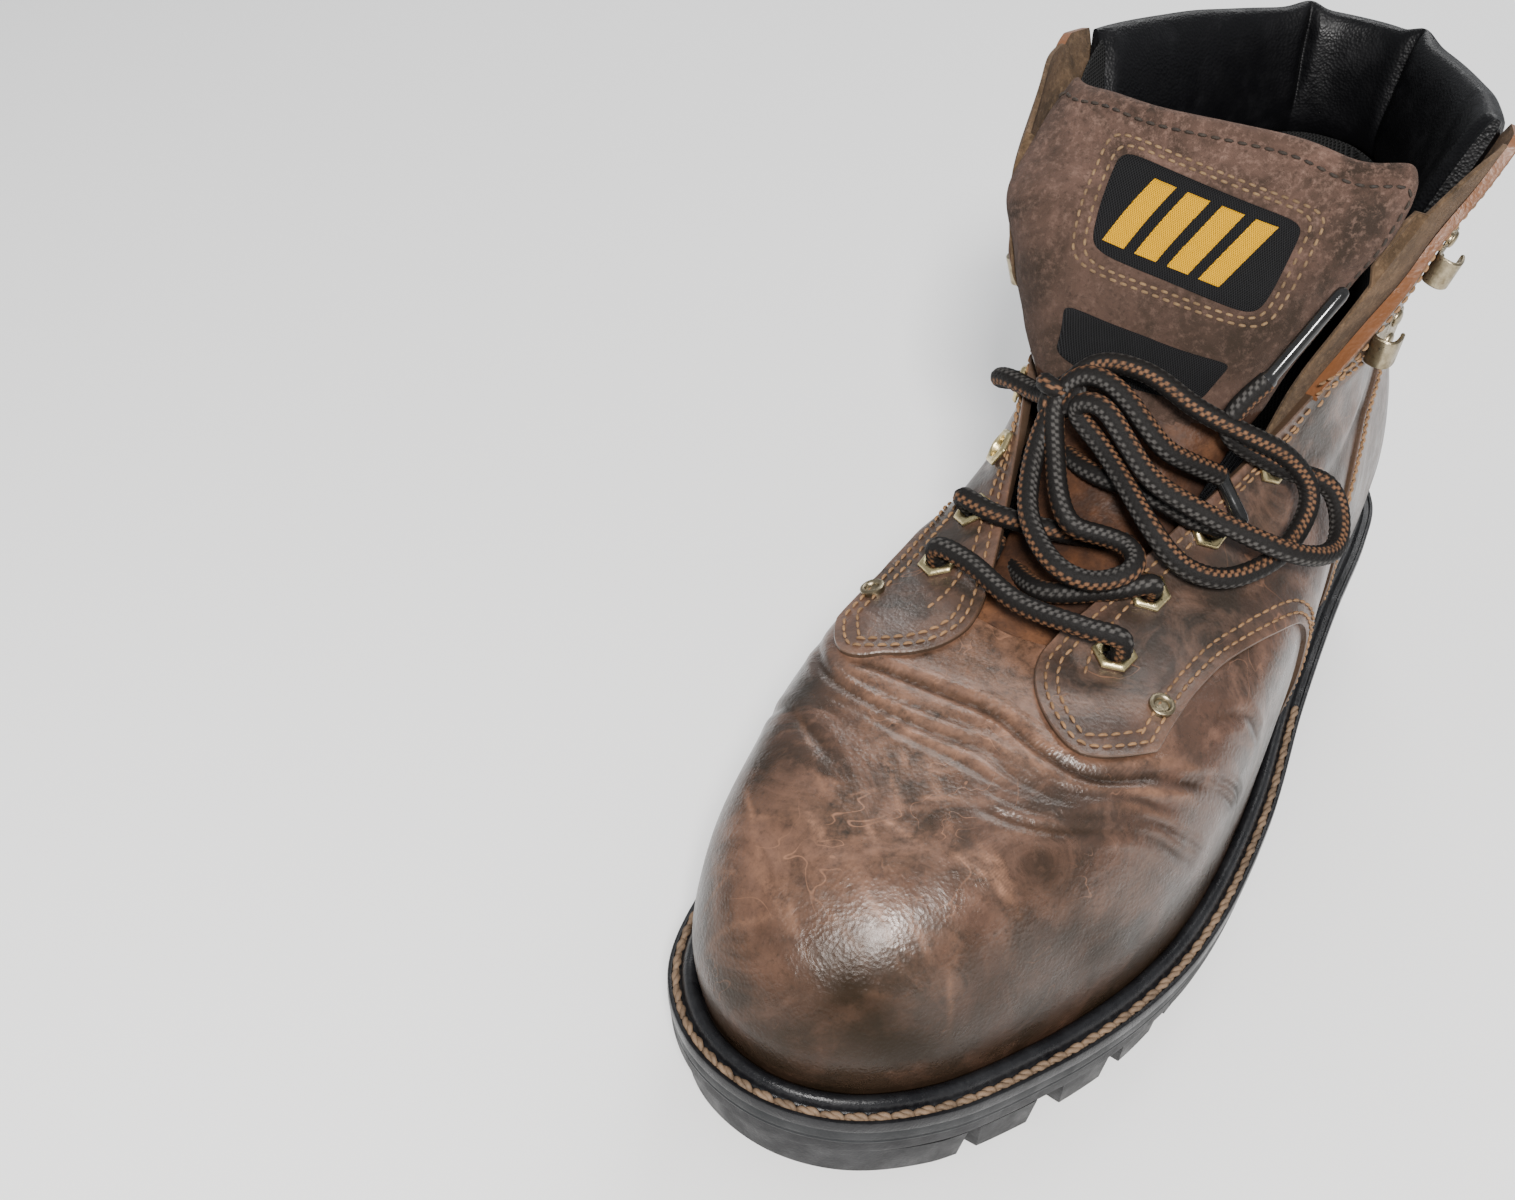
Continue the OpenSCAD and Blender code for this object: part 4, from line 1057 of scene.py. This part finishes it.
def tongue_top(share):
    """Height of the tongue's wavy top edge, whose corners are rounded."""
    slope = 0.995 - 0.024 * ease(-0.2, 0.7, share) + 0.003 * np.sin(share * 11)
    return slope - 0.05 * ease(0.72, 1.04, np.abs(share)) ** 2


def spot_between(corners, squareness=9):
    """Places between four corners, within an outline whose own corners are rounded."""
    # The face widens as a power of the share, so that places are spread evenly across it, not round it
    power = 0.6
    low_in, low_out, high_out, high_in = (np.array([v, np.sign(x) * abs(x) ** power]) for v, x in corners)

    def spot(w, u):
        reach = np.maximum(np.abs(u), np.abs(w))
        x, y = np.abs(u) / np.maximum(reach, 1e-9), np.abs(w) / np.maximum(reach, 1e-9)
        squeeze = np.maximum(x ** squareness + y ** squareness, 1) ** (-1 / squareness)
        b, a = (w * squeeze + 1)[..., None] / 2, (u * squeeze + 1)[..., None] / 2
        found = (low_in * (1 - a) + low_out * a) * (1 - b) + (high_in * (1 - a) + high_out * a) * b
        return found[..., 0], np.sign(found[..., 1]) * np.abs(found[..., 1]) ** (1 / power)
    return spot


def slab_on_tongue(spot, lift, thick, rows, columns, crown=0.0):
    """A thin slab that follows the tongue's face; spot turns (-1..1, -1..1) into its height and share."""
    w, u = np.meshgrid(np.linspace(-1, 1, rows), np.linspace(-1, 1, columns), indexing="ij")
    v, share = spot(w, u)
    face, out = tongue_place(v, share)
    edge = np.sqrt(np.maximum((1 - np.abs(w) ** 14) * (1 - np.abs(u) ** 18), 0))
    rise = lift + crown * (1 - u * u) * (1 - w * w)
    top = face + (rise - (thick / 2) * (1 - edge))[..., None] * out
    low = face + (lift - thick + (thick / 2) * (1 - edge))[..., None] * out
    n = rows * columns
    faces = grid_faces(rows, columns)
    back = [[k + n for k in f[::-1]] for f in faces]
    border = ([j for j in range(columns)] + [i * columns + columns - 1 for i in range(1, rows)]
              + [(rows - 1) * columns + j for j in range(columns - 2, -1, -1)]
              + [i * columns for i in range(rows - 2, 0, -1)])
    sides = [[b, a, a + n, b + n] for a, b in zip(border, border[1:] + border[:1])]
    points = np.vstack([top.reshape(-1, 3), low.reshape(-1, 3)])
    return (points, faces + back + sides), v


def tongue_stitches(path, **size):
    """Stitches along a path of (height, share) on the tongue."""
    return stitches_along(*tongue_place(*np.array(path, float).T), **size)


def make_tongue():
    def body(w, u):
        return TONGUE_LOW + (tongue_top(u) - TONGUE_LOW) * (w + 1) / 2, u

    part, v = slab_on_tongue(body, 0, TONGUE_T, 150, 90)
    middles = [np.mean([v.ravel()[k % v.size] for k in face]) for face in part[1]]
    slots = [0 if m > SUEDE_FROM else 1 for m in middles]
    # Painted shadow: the middle of the tongue, down in the throat between the facings, is marked darker
    painted_shade = {"painted_shade": np.tile((ease(0.47, 0.54, v) * ease(0.97, 0.78, v)).ravel(), 2)}
    make("tongue_body", part, [TONGUE_SUEDE, TONGUE_LEATHER], ["tongue"], "tongue",
         smooth=60, slots=slots, attributes=painted_shade)
    for name, corners, node in (("tongue_label_patch", LABEL, "tongue_label"),
                                ("tongue_tag_patch", TAG, "tongue_tag")):
        part, _ = slab_on_tongue(spot_between(corners), PATCH_LIFT, PATCH_THICK, 24, 48, 0.3)
        make(name, part, [PATCH], [node], "tongue", smooth=60)
    spot = spot_between(LABEL, 1000)
    parts = []
    for start, stop in BARS:
        def bar(w, u, start=start, stop=stop):
            return spot(0.74 * w, start + (stop - start) * (u + 1) / 2 + 0.16 * w)
        parts.append(slab_on_tongue(bar, BAR_LIFT, BAR_THICK, 30, 12)[0])
    make("tongue_label_device", join(parts), [DEVICE], body="tongue", smooth=60)
    share = np.linspace(-0.9, 0.86, 90)
    rim = list(zip(tongue_top(share) - 0.024, share))
    rim += [(0.93 - 0.0045 * k, 0.88 + 0.0005 * k) for k in range(40)]
    make("tongue_rim_stitches", join(tongue_stitches(rim, pitch=3.2, length=2.4)), [DARK_THREAD],
         body="tongue")
    frame_spot = spot_between(WINDOW)
    parts = []
    for grow in (1.0, 0.9):
        t = np.linspace(0, 2 * math.pi, 400)
        c, s = np.cos(t), np.sin(t)
        big = np.maximum(np.abs(c), np.abs(s))
        path = np.stack(frame_spot(grow * s / big, grow * c / big), 1)
        parts += tongue_stitches(path, pitch=2.7, length=1.9, radius=0.36)
    make("tongue_window_stitches", join(parts), [WINDOW_THREAD], body="tongue")


make_tongue()

# ---- Metalwork ----

EYELET_OUT, HOOK_OUT, STUD_OUT = 0.55, 2.4, 1.4   # how far each kind is set out from the upper
HOOK_THICK = 1.1
HOOK_RIVETS = ((9, -3.4), (9, 3.4))


def on_upper(v, q, offset, mirror=False):
    """Matrix of a place on the upper: +Z outwards and +X round towards the heel on the outer side."""
    p = skin(np.array([v]), np.array([q]), offset)[0]
    z = normal(np.array([v]), np.array([q]))[0]
    x = across(np.array([v]), np.array([q]))[0]
    turn = facing(x, z, p)
    if mirror:
        turn[:3, 0] *= -1
    return turn


def rounded_bar(line, half_width, thick, corner=0.35):
    """A strip bent along a line in the plane of x and z, with eased edges."""
    section = [(-half_width, -thick / 2 + corner), (-half_width + corner, -thick / 2),
               (half_width - corner, -thick / 2), (half_width, -thick / 2 + corner),
               (half_width, thick / 2 - corner), (half_width - corner, thick / 2),
               (-half_width + corner, thick / 2), (-half_width, thick / 2 - corner)]
    return sweep(line, section, up=(0, 0, 1))


def make_metalwork():
    eyelet = lathe([(2.9, -1.8), (3.5, -1.8), (3.5, 1.2), (5.05, 1.35), (5.15, 1.6), (5.0, 2.1), (4.5, 2.5),
                    (3.7, 2.65), (3.1, 2.4), (2.9, 1.9)], 48, hexagon=(3, 4, 5, 6), ring=True)
    for side, places in EYELETS.items():
        make(f"eyelets_{side}_brass", join([place(eyelet, on_upper(v, q, EYELET_OUT)) for q, v in places]),
             [BRASS], [f"eyelets_{side}"], smooth=40)
    bend = [(6, 0.5), (2, 0.5), (-2.2, 0.5), (-3.3, 0.9), (-3.8, 2.0), (-3.9, 3.4), (-3.5, 4.8),
            (-2.4, 5.7), (-0.8, 6.0), (1.2, 5.9), (3.0, 5.5)]
    tab = rounded_bar(resample(np.array([(x, 0, z) for x, z in bend]), 0.35), 4, HOOK_THICK)
    plate = rounded_plate(4.5, 12.5, 6.2, HOOK_THICK)
    rivet = lathe([(1.2, -0.2), (2.3, 0.9), (2.35, 1.2), (2.1, 1.65), (1.4, 1.95), (0.5, 2.05),
                   (0.05, 2.06)], 24)
    for side, sign in (("lateral", 1), ("medial", -1)):
        hooks, rivets = [], []
        for q, v in HOOKS:
            turn = on_upper(v, sign * q, HOOK_OUT, mirror=sign < 0)
            hooks += [place(tab, turn), place(plate, turn)]
            rivets += [place(rivet, turn @ facing((1, 0, 0), (0, 0, 1), (x, y, 0))) for x, y in HOOK_RIVETS]
        make(f"hooks_{side}_metal", join(hooks), [HOOK_METAL], [f"hooks_{side}"], smooth=40)
        make(f"hook_rivets_{side}_metal", join(rivets), [HOOK_METAL],
             [f"hook_rivets_{side}"], smooth=50)
    stud = lathe([(2.9, -0.8), (3.1, 0.6), (3.05, 1.1), (2.6, 1.4), (2.1, 1.3), (1.7, 0.8), (1.6, 0.55),
                  (0.8, 0.45), (0.05, 0.5)], 32)
    make("vamp_rivet_studs", join([place(stud, on_upper(v, q, STUD_OUT)) for q, v in VAMP_RIVETS]),
         [HOOK_METAL], ["vamp_rivets"], smooth=50)


def rounded_plate(x0, x1, half, thick):
    """A flat plate with rounded corners and an eased top edge."""
    corner, steps = 2.2, 6
    loop = []
    for cx, cy, a in ((x1 - corner, half - corner, 0), (x0 + corner, half - corner, 90),
                      (x0 + corner, -half + corner, 180), (x1 - corner, -half + corner, 270)):
        for k in range(steps + 1):
            b = math.radians(a + 90 * k / steps)
            loop.append((cx + corner * math.cos(b), cy + corner * math.sin(b)))
    loop = np.array(loop)
    middle = np.array([(x0 + x1) / 2, 0])
    rings = [(1.0, 0.0), (1.0, thick - 0.3), (0.95, thick)]
    points = [np.column_stack([middle + (loop - middle) * s, np.full(len(loop), z)]) for s, z in rings]
    return np.vstack(points), tube_faces(len(rings), len(loop))


make_metalwork()

# ---- Sole ----

TREAD = 8.0            # depth of the grooves
SOLE_SAMPLES = 16      # on each span of the outline
SOLE_LINE = closed(WELT, SOLE_SAMPLES)


def sole_rings(profile):
    """Rings round the sole's outline from a profile of (inset, height over the welt's top)."""
    rings = []
    for d, z in profile:
        loop = inset(SOLE_LINE, d)
        y = HEEL_Y - loop[:, 1]
        rings.append(np.column_stack([loop[:, 0], y, welt_z(y) + z]))
    return np.vstack(rings)


def swept_layer(name, profile, material, node):
    """A closed profile carried round the sole's outline."""
    faces = grid_faces(len(profile), len(SOLE_LINE), wrap_columns=True, wrap_rows=True)
    make(name, (sole_rings(profile), faces), [material], [node], smooth=40)


def make_welt():
    profile = [(0.05, -3.1), (0, -2.8), (0, -0.5), (0.15, -0.15), (0.5, 0), (0.95, 0), (1.15, -0.2),
               (1.25, -0.6), (2.65, -0.6), (2.8, -0.1), (3.1, 0.1), (3.3, 0.5), (3.5, 1.4), (4.0, 2.3),
               (4.8, 2.85), (5.6, 2.9), (6.4, 2.5), (7.0, 1.7), (7.4, 0.4), (8.2, -0.3), (12, -0.3),
               (12, -3.15)]
    swept_layer("welt_bead", profile, WELT_RUBBER, "welt")
    profile = [(0.75, -7.7), (0.55, -7.5), (0.5, -7.1), (0.62, -6.9), (0.62, -6.4), (0.45, -6.2),
               (0.4, -5.9), (0.4, -3.5), (0.55, -3.2), (9, -3.2), (9, -7.7)]
    swept_layer("midsole_layer", profile, MID_RUBBER, "midsole")


def twisted_stitch(length, radius):
    """One thick stitch of two strands twisted together."""
    parts = []
    rings, sides = 14, 8
    u = np.linspace(-1, 1, rings)
    for phase in (0, math.pi):
        turn = u * 2.4 + phase
        dive = -radius * 1.5 * np.abs(u) ** 6
        off = 0.42 * radius
        line = np.stack([u * length / 2, off * np.cos(turn), off * np.sin(turn) + dive], 1)
        angle = round_turn(sides)
        r = radius * 0.66
        parts.append(sweep(line, np.stack([r * np.cos(angle), r * np.sin(angle)], 1)))
    return join(parts)


def make_welt_stitches():
    line = inset(closed(WELT, 24), 1.95)
    y = HEEL_Y - line[:, 1]
    points = np.column_stack([line[:, 0], y, welt_z(y) - 0.05])
    low, high = 24 * 5, 24 * 19       # the forefoot's stretch of the outline
    route = resample(points[low:high], 5.2, smooth=False)
    unit_part = twisted_stitch(4.7, 1.0)
    parts = []
    for a, b in zip(route, route[1:]):
        x = unit(b - a)
        z = unit(np.array([0, 0, 1.0]) - x[2] * x)
        parts.append(place(unit_part, facing(x, z, (a + b) / 2)))
    make("welt_thread", join(parts), [WELT_THREAD], ["welt_stitching"], smooth=80)


def ground_z(s):
    return lookup(s, GROUND)


def lug(polygon, draft=0.9, chamfer=0.7, lift=0.0):
    """A lug from its outline of (x, distance from the heel's back), narrowing to the ground."""
    p = np.array(polygon, float)
    area = 0.5 * np.sum(p[:, 0] * np.roll(p[:, 1], -1) - np.roll(p[:, 0], -1) * p[:, 1])
    if area < 0:
        p = p[::-1]
    before, after = unit(p - np.roll(p, 1, axis=0)), unit(np.roll(p, -1, axis=0) - p)
    side = np.stack([-(before + after)[:, 1], (before + after)[:, 0]], 1)
    side = side / np.maximum((side * side).sum(1), 0.7)[:, None] * 2
    rings = []
    for d, rise in ((0, TREAD + 1.5), (draft, 1.0), (draft + chamfer, 0)):
        q = p + d * side
        rings.append(np.column_stack([q[:, 0], HEEL_Y - q[:, 1], ground_z(q[:, 1]) + lift + rise]))
    return np.vstack(rings), tube_faces(len(rings), len(p))


LUG_LINE = inset(SOLE_LINE, 3.6)
TOE_SAMPLE = TOE_TURN * SOLE_SAMPLES
LUG_SIDES = {1: LUG_LINE[:TOE_SAMPLE + 1], -1: np.vstack([LUG_LINE[TOE_SAMPLE:], LUG_LINE[:1]])[::-1]}
RAIL = 19.5            # from the middle to the side lugs' inner ends
PITCH, FIRST = 19.5, 158   # from one row of lugs to the next, and the first row's start
GROOVE = 2.6           # half of the groove between two side lugs
HEEL_ROWS = ((31.5, 48.5), (51.5, 68.5), (71.5, 88))


def edge_between(side, s0, s1):
    """The sole's edge between two distances from the heel's back, on one side."""
    line = LUG_SIDES[side]
    at = np.maximum.accumulate(line[:, 1])
    s = np.linspace(s0, s1, max(int(abs(s1 - s0) / 2.5), 3))
    return [[float(np.interp(k, at, line[:, 0])), float(k)] for k in s]


def outer_lug(side, s0, s1, slant, notch=2.2):
    """A side lug with an angular inner end."""
    edge = edge_between(side, s0, s1)
    x = side * (RAIL + 1.6)
    inner = [[x, s1 + slant], [x + side * 3.5, (s0 + s1) / 2 + slant + notch], [x, s0 + slant]]
    return lug(edge + inner)


def stepped_lug(s, half, gap):
    """A middle lug with a stepped front edge that keys into the next."""
    h = PITCH / 2 - gap / 2
    shape = [[-half, s - h], [-half * 0.3, s - h], [-half * 0.3, s - h + 3], [half * 0.3, s - h + 3],
             [half * 0.3, s - h], [half, s - h], [half, s + h], [half * 0.3, s + h], [half * 0.3, s + h + 3],
             [-half * 0.3, s + h + 3], [-half * 0.3, s + h], [-half, s + h]]
    return lug(shape, 0.5, 0.5)


def edge_halves(low, high, middle):
    """The sole's edge between two distances from the heel's back: up one side and down the other."""
    edge = [list(p) for p in LUG_LINE if low < p[1] < high]
    return (sorted([p for p in edge if p[0] >= middle], key=lambda p: p[1]),
            sorted([p for p in edge if p[0] < middle], key=lambda p: -p[1]))


def make_outsole():
    profile = [(6, -11.2), (1.6, -11.2), (0.95, -10.9), (0.8, -10.2), (0.8, -7.9), (0.95, -7.7), (6, -7.7)]
    n = len(SOLE_LINE)
    parts = [(sole_rings(profile), tube_faces(len(profile), n))]
    # The core between the plate and the grooves' floors
    core = sole_rings([(5.2, 0), (5.2, -9.5)])
    core[:n, 2] = ground_z(HEEL_Y - core[:n, 1]) + TREAD
    parts.append((core, tube_faces(2, n)))
    for side in (1, -1):
        for i in range(5):
            s0 = FIRST + i * PITCH
            parts.append(outer_lug(side, s0 + GROOVE, s0 + PITCH - GROOVE, -2.8))
        parts.append(outer_lug(side, 149, FIRST - GROOVE, -1.5, 0.5))
        for s0, s1 in HEEL_ROWS:
            edge = edge_between(side, s0, s1)
            parts.append(lug(edge + [[side * 12.5, s1], [side * 12.5, s0]]))
        for i in range(6):
            s = FIRST + 9 + i * PITCH
            parts.append(lug([[side * 15.2, s - 8.6], [side * 18.4, s - 8.6], [side * 18.4, s + 8.6],
                              [side * 15.2, s + 8.6]], 0.4, 0.4))
    for i in range(5):
        parts.append(stepped_lug(FIRST + 9 + i * PITCH, 13.6, 1.8))
    for s0, s1 in ((14, 29), *HEEL_ROWS):
        parts.append(lug([[-10, s0], [10, s0], [10, s1], [-10, s1]], 0.5, 0.5))
    # The heel's back edge, the toe's tip and the bar behind it
    right, left = edge_halves(-10, 28.5, 0)
    parts.append(lug(left + right + [[12.5, 28.5], [12.5, 12], [-12.5, 12], [-12.5, 28.5]]))
    parts.append(lug([list(p) for p in LUG_LINE if p[1] > 278]))
    right, left = edge_halves(259, 276, -6)
    parts.append(lug(right + left))
    # The waist's recessed blank panel
    parts.append(lug([[-22, 97], [22, 97], [24, 140], [-22, 140]], 0.6, 0.6, 3.2))
    make("outsole_tread", join(parts), [SOLE_RUBBER], ["outsole"], smooth=30)


make_welt()
make_welt_stitches()
make_outsole()

# ---- Pull loop ----

LOOP_X, LOOP_Y, LOOP_Z = -2, 46.9, 143     # its middle


def make_pull_loop():
    """A strap folded into a loop, with a row of stitches down each edge of its outer straight part."""
    half, r = 10, 4.0          # half of the straight part's height, and the bends' radius
    straight = np.linspace(-half, half, 12)
    bend = np.linspace(0, math.pi, 12)[1:-1]
    path = np.array([(-r, z) for z in straight]
                    + [(-r * math.cos(a), half + r * math.sin(a)) for a in bend]
                    + [(r, -z) for z in straight]
                    + [(r * math.cos(a), -half - r * math.sin(a)) for a in bend])
    t = unit(np.roll(path, -1, axis=0) - np.roll(path, 1, axis=0))
    out = np.stack([-t[:, 1], t[:, 0]], 1)
    section = [(-9, 0.6), (-8.6, 1), (0, 1.12), (8.6, 1), (9, 0.6), (9, -0.6), (8.6, -1), (0, -0.9),
               (-8.6, -1), (-9, -0.6)]
    rings = []
    for (y, z), (oy, oz) in zip(path, out):
        rings.append([(LOOP_X + x, LOOP_Y + y + o * oy, LOOP_Z + z + o * oz) for x, o in section])
    points = np.array(rings).reshape(-1, 3)
    faces = grid_faces(len(path), len(section), wrap_columns=True, wrap_rows=True, flip=True)
    fields = {"wear": np.full(len(points), 0.25), "cut": np.zeros(len(points))}
    make("pull_loop_strap", (points, faces), [LOOP_LEATHER], ["pull_loop"], "pull_loop",
         smooth=50, attributes=fields)
    parts = []
    for x in (LOOP_X - 7, LOOP_X + 7):
        line = np.array([(x, 51.95, z) for z in np.linspace(LOOP_Z - half, LOOP_Z + half, 30)])
        parts += stitches_along(line, np.tile([0.0, 1, 0], (30, 1)), radius=0.35)
    make("pull_loop_stitches", join(parts), [STITCH], body="pull_loop")


make_pull_loop()

# ---- What lies inside keeps its CAD shape ----

INSIDE = {"cork_filler": plain_stuff("cork", (0.45, 0.3, 0.18), (0.2, 0.12, 0.06), 900, (0.7, 0.9), 0.0006),
          "steel_shank": metal("shank_steel", (0.55, 0.56, 0.58), (0.3, 0.31, 0.32), (0.3, 0.5)),
          "insole_board": plain_stuff("fibre_board", (0.5, 0.4, 0.28), (0.36, 0.27, 0.18), 1400, (0.8, 0.9)),
          "footbed": cloth("footbed_cloth", (0.03, 0.03, 0.032), (0.075, 0.075, 0.08)),
          "steel_toe_cap": metal("cap_steel", (0.5, 0.51, 0.53), (0.26, 0.27, 0.29), (0.35, 0.55)),
          "toe_cap_cushion": rubber("cushion_rubber", (0.03, 0.03, 0.03), (0.1, 0.1, 0.1), (0.5, 0.7), 0.3),
          "heel_counter": plain_stuff("counter_plastic", (0.4, 0.37, 0.31), (0.3, 0.27, 0.22), 500,
                                      (0.5, 0.7))}
for node_name, stuff in INSIDE.items():
    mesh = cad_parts[node_name].data
    mesh.materials.clear()
    mesh.materials.append(stuff)

# ---- Floor and light ----


def make_stage():
    floor = Surface("floor")
    tone = floor.mix((0.93, 0.93, 0.925), (0.96, 0.96, 0.955), floor.noise(3, 2))
    floor.finish(tone, 0.75)
    half = 4.0
    corners = [(-half, -half, 0), (half, -half, 0), (half, half, 0), (-half, half, 0)]
    mesh = bpy.data.meshes.new("floor")
    mesh.from_pydata(corners, [], [(0, 1, 2, 3)])
    mesh.materials.append(floor.material)
    piece = bpy.data.objects.new("floor", mesh)
    bpy.context.scene.collection.objects.link(piece)


def make_light(name, at, aim, size, power, tone=(1, 1, 1)):
    data = bpy.data.lights.new(name, "AREA")
    data.shape = "RECTANGLE"
    data.size, data.size_y = size
    data.energy = power
    data.color = tone
    light = bpy.data.objects.new(name, data)
    bpy.context.scene.collection.objects.link(light)
    light.location = at
    light.rotation_euler = (Vector(aim) - Vector(at)).to_track_quat("-Z", "Y").to_euler()


def make_studio():
    make_stage()
    world = bpy.data.worlds.new("studio")
    world.use_nodes = True
    world.node_tree.nodes["Background"].inputs["Color"].default_value = (0.93, 0.96, 1, 1)
    world.node_tree.nodes["Background"].inputs["Strength"].default_value = 0.5
    bpy.context.scene.world = world
    toe = (0.0075, -0.245, 0.072)
    make_light("key", (0.4, -0.95, 0.97), toe, (0.2, 0.2), 34, (1, 0.98, 0.96))
    make_light("back", (-0.2, 0.9, 1.0), (0, -0.1, 0.06), (0.9, 0.6), 11)


make_studio()
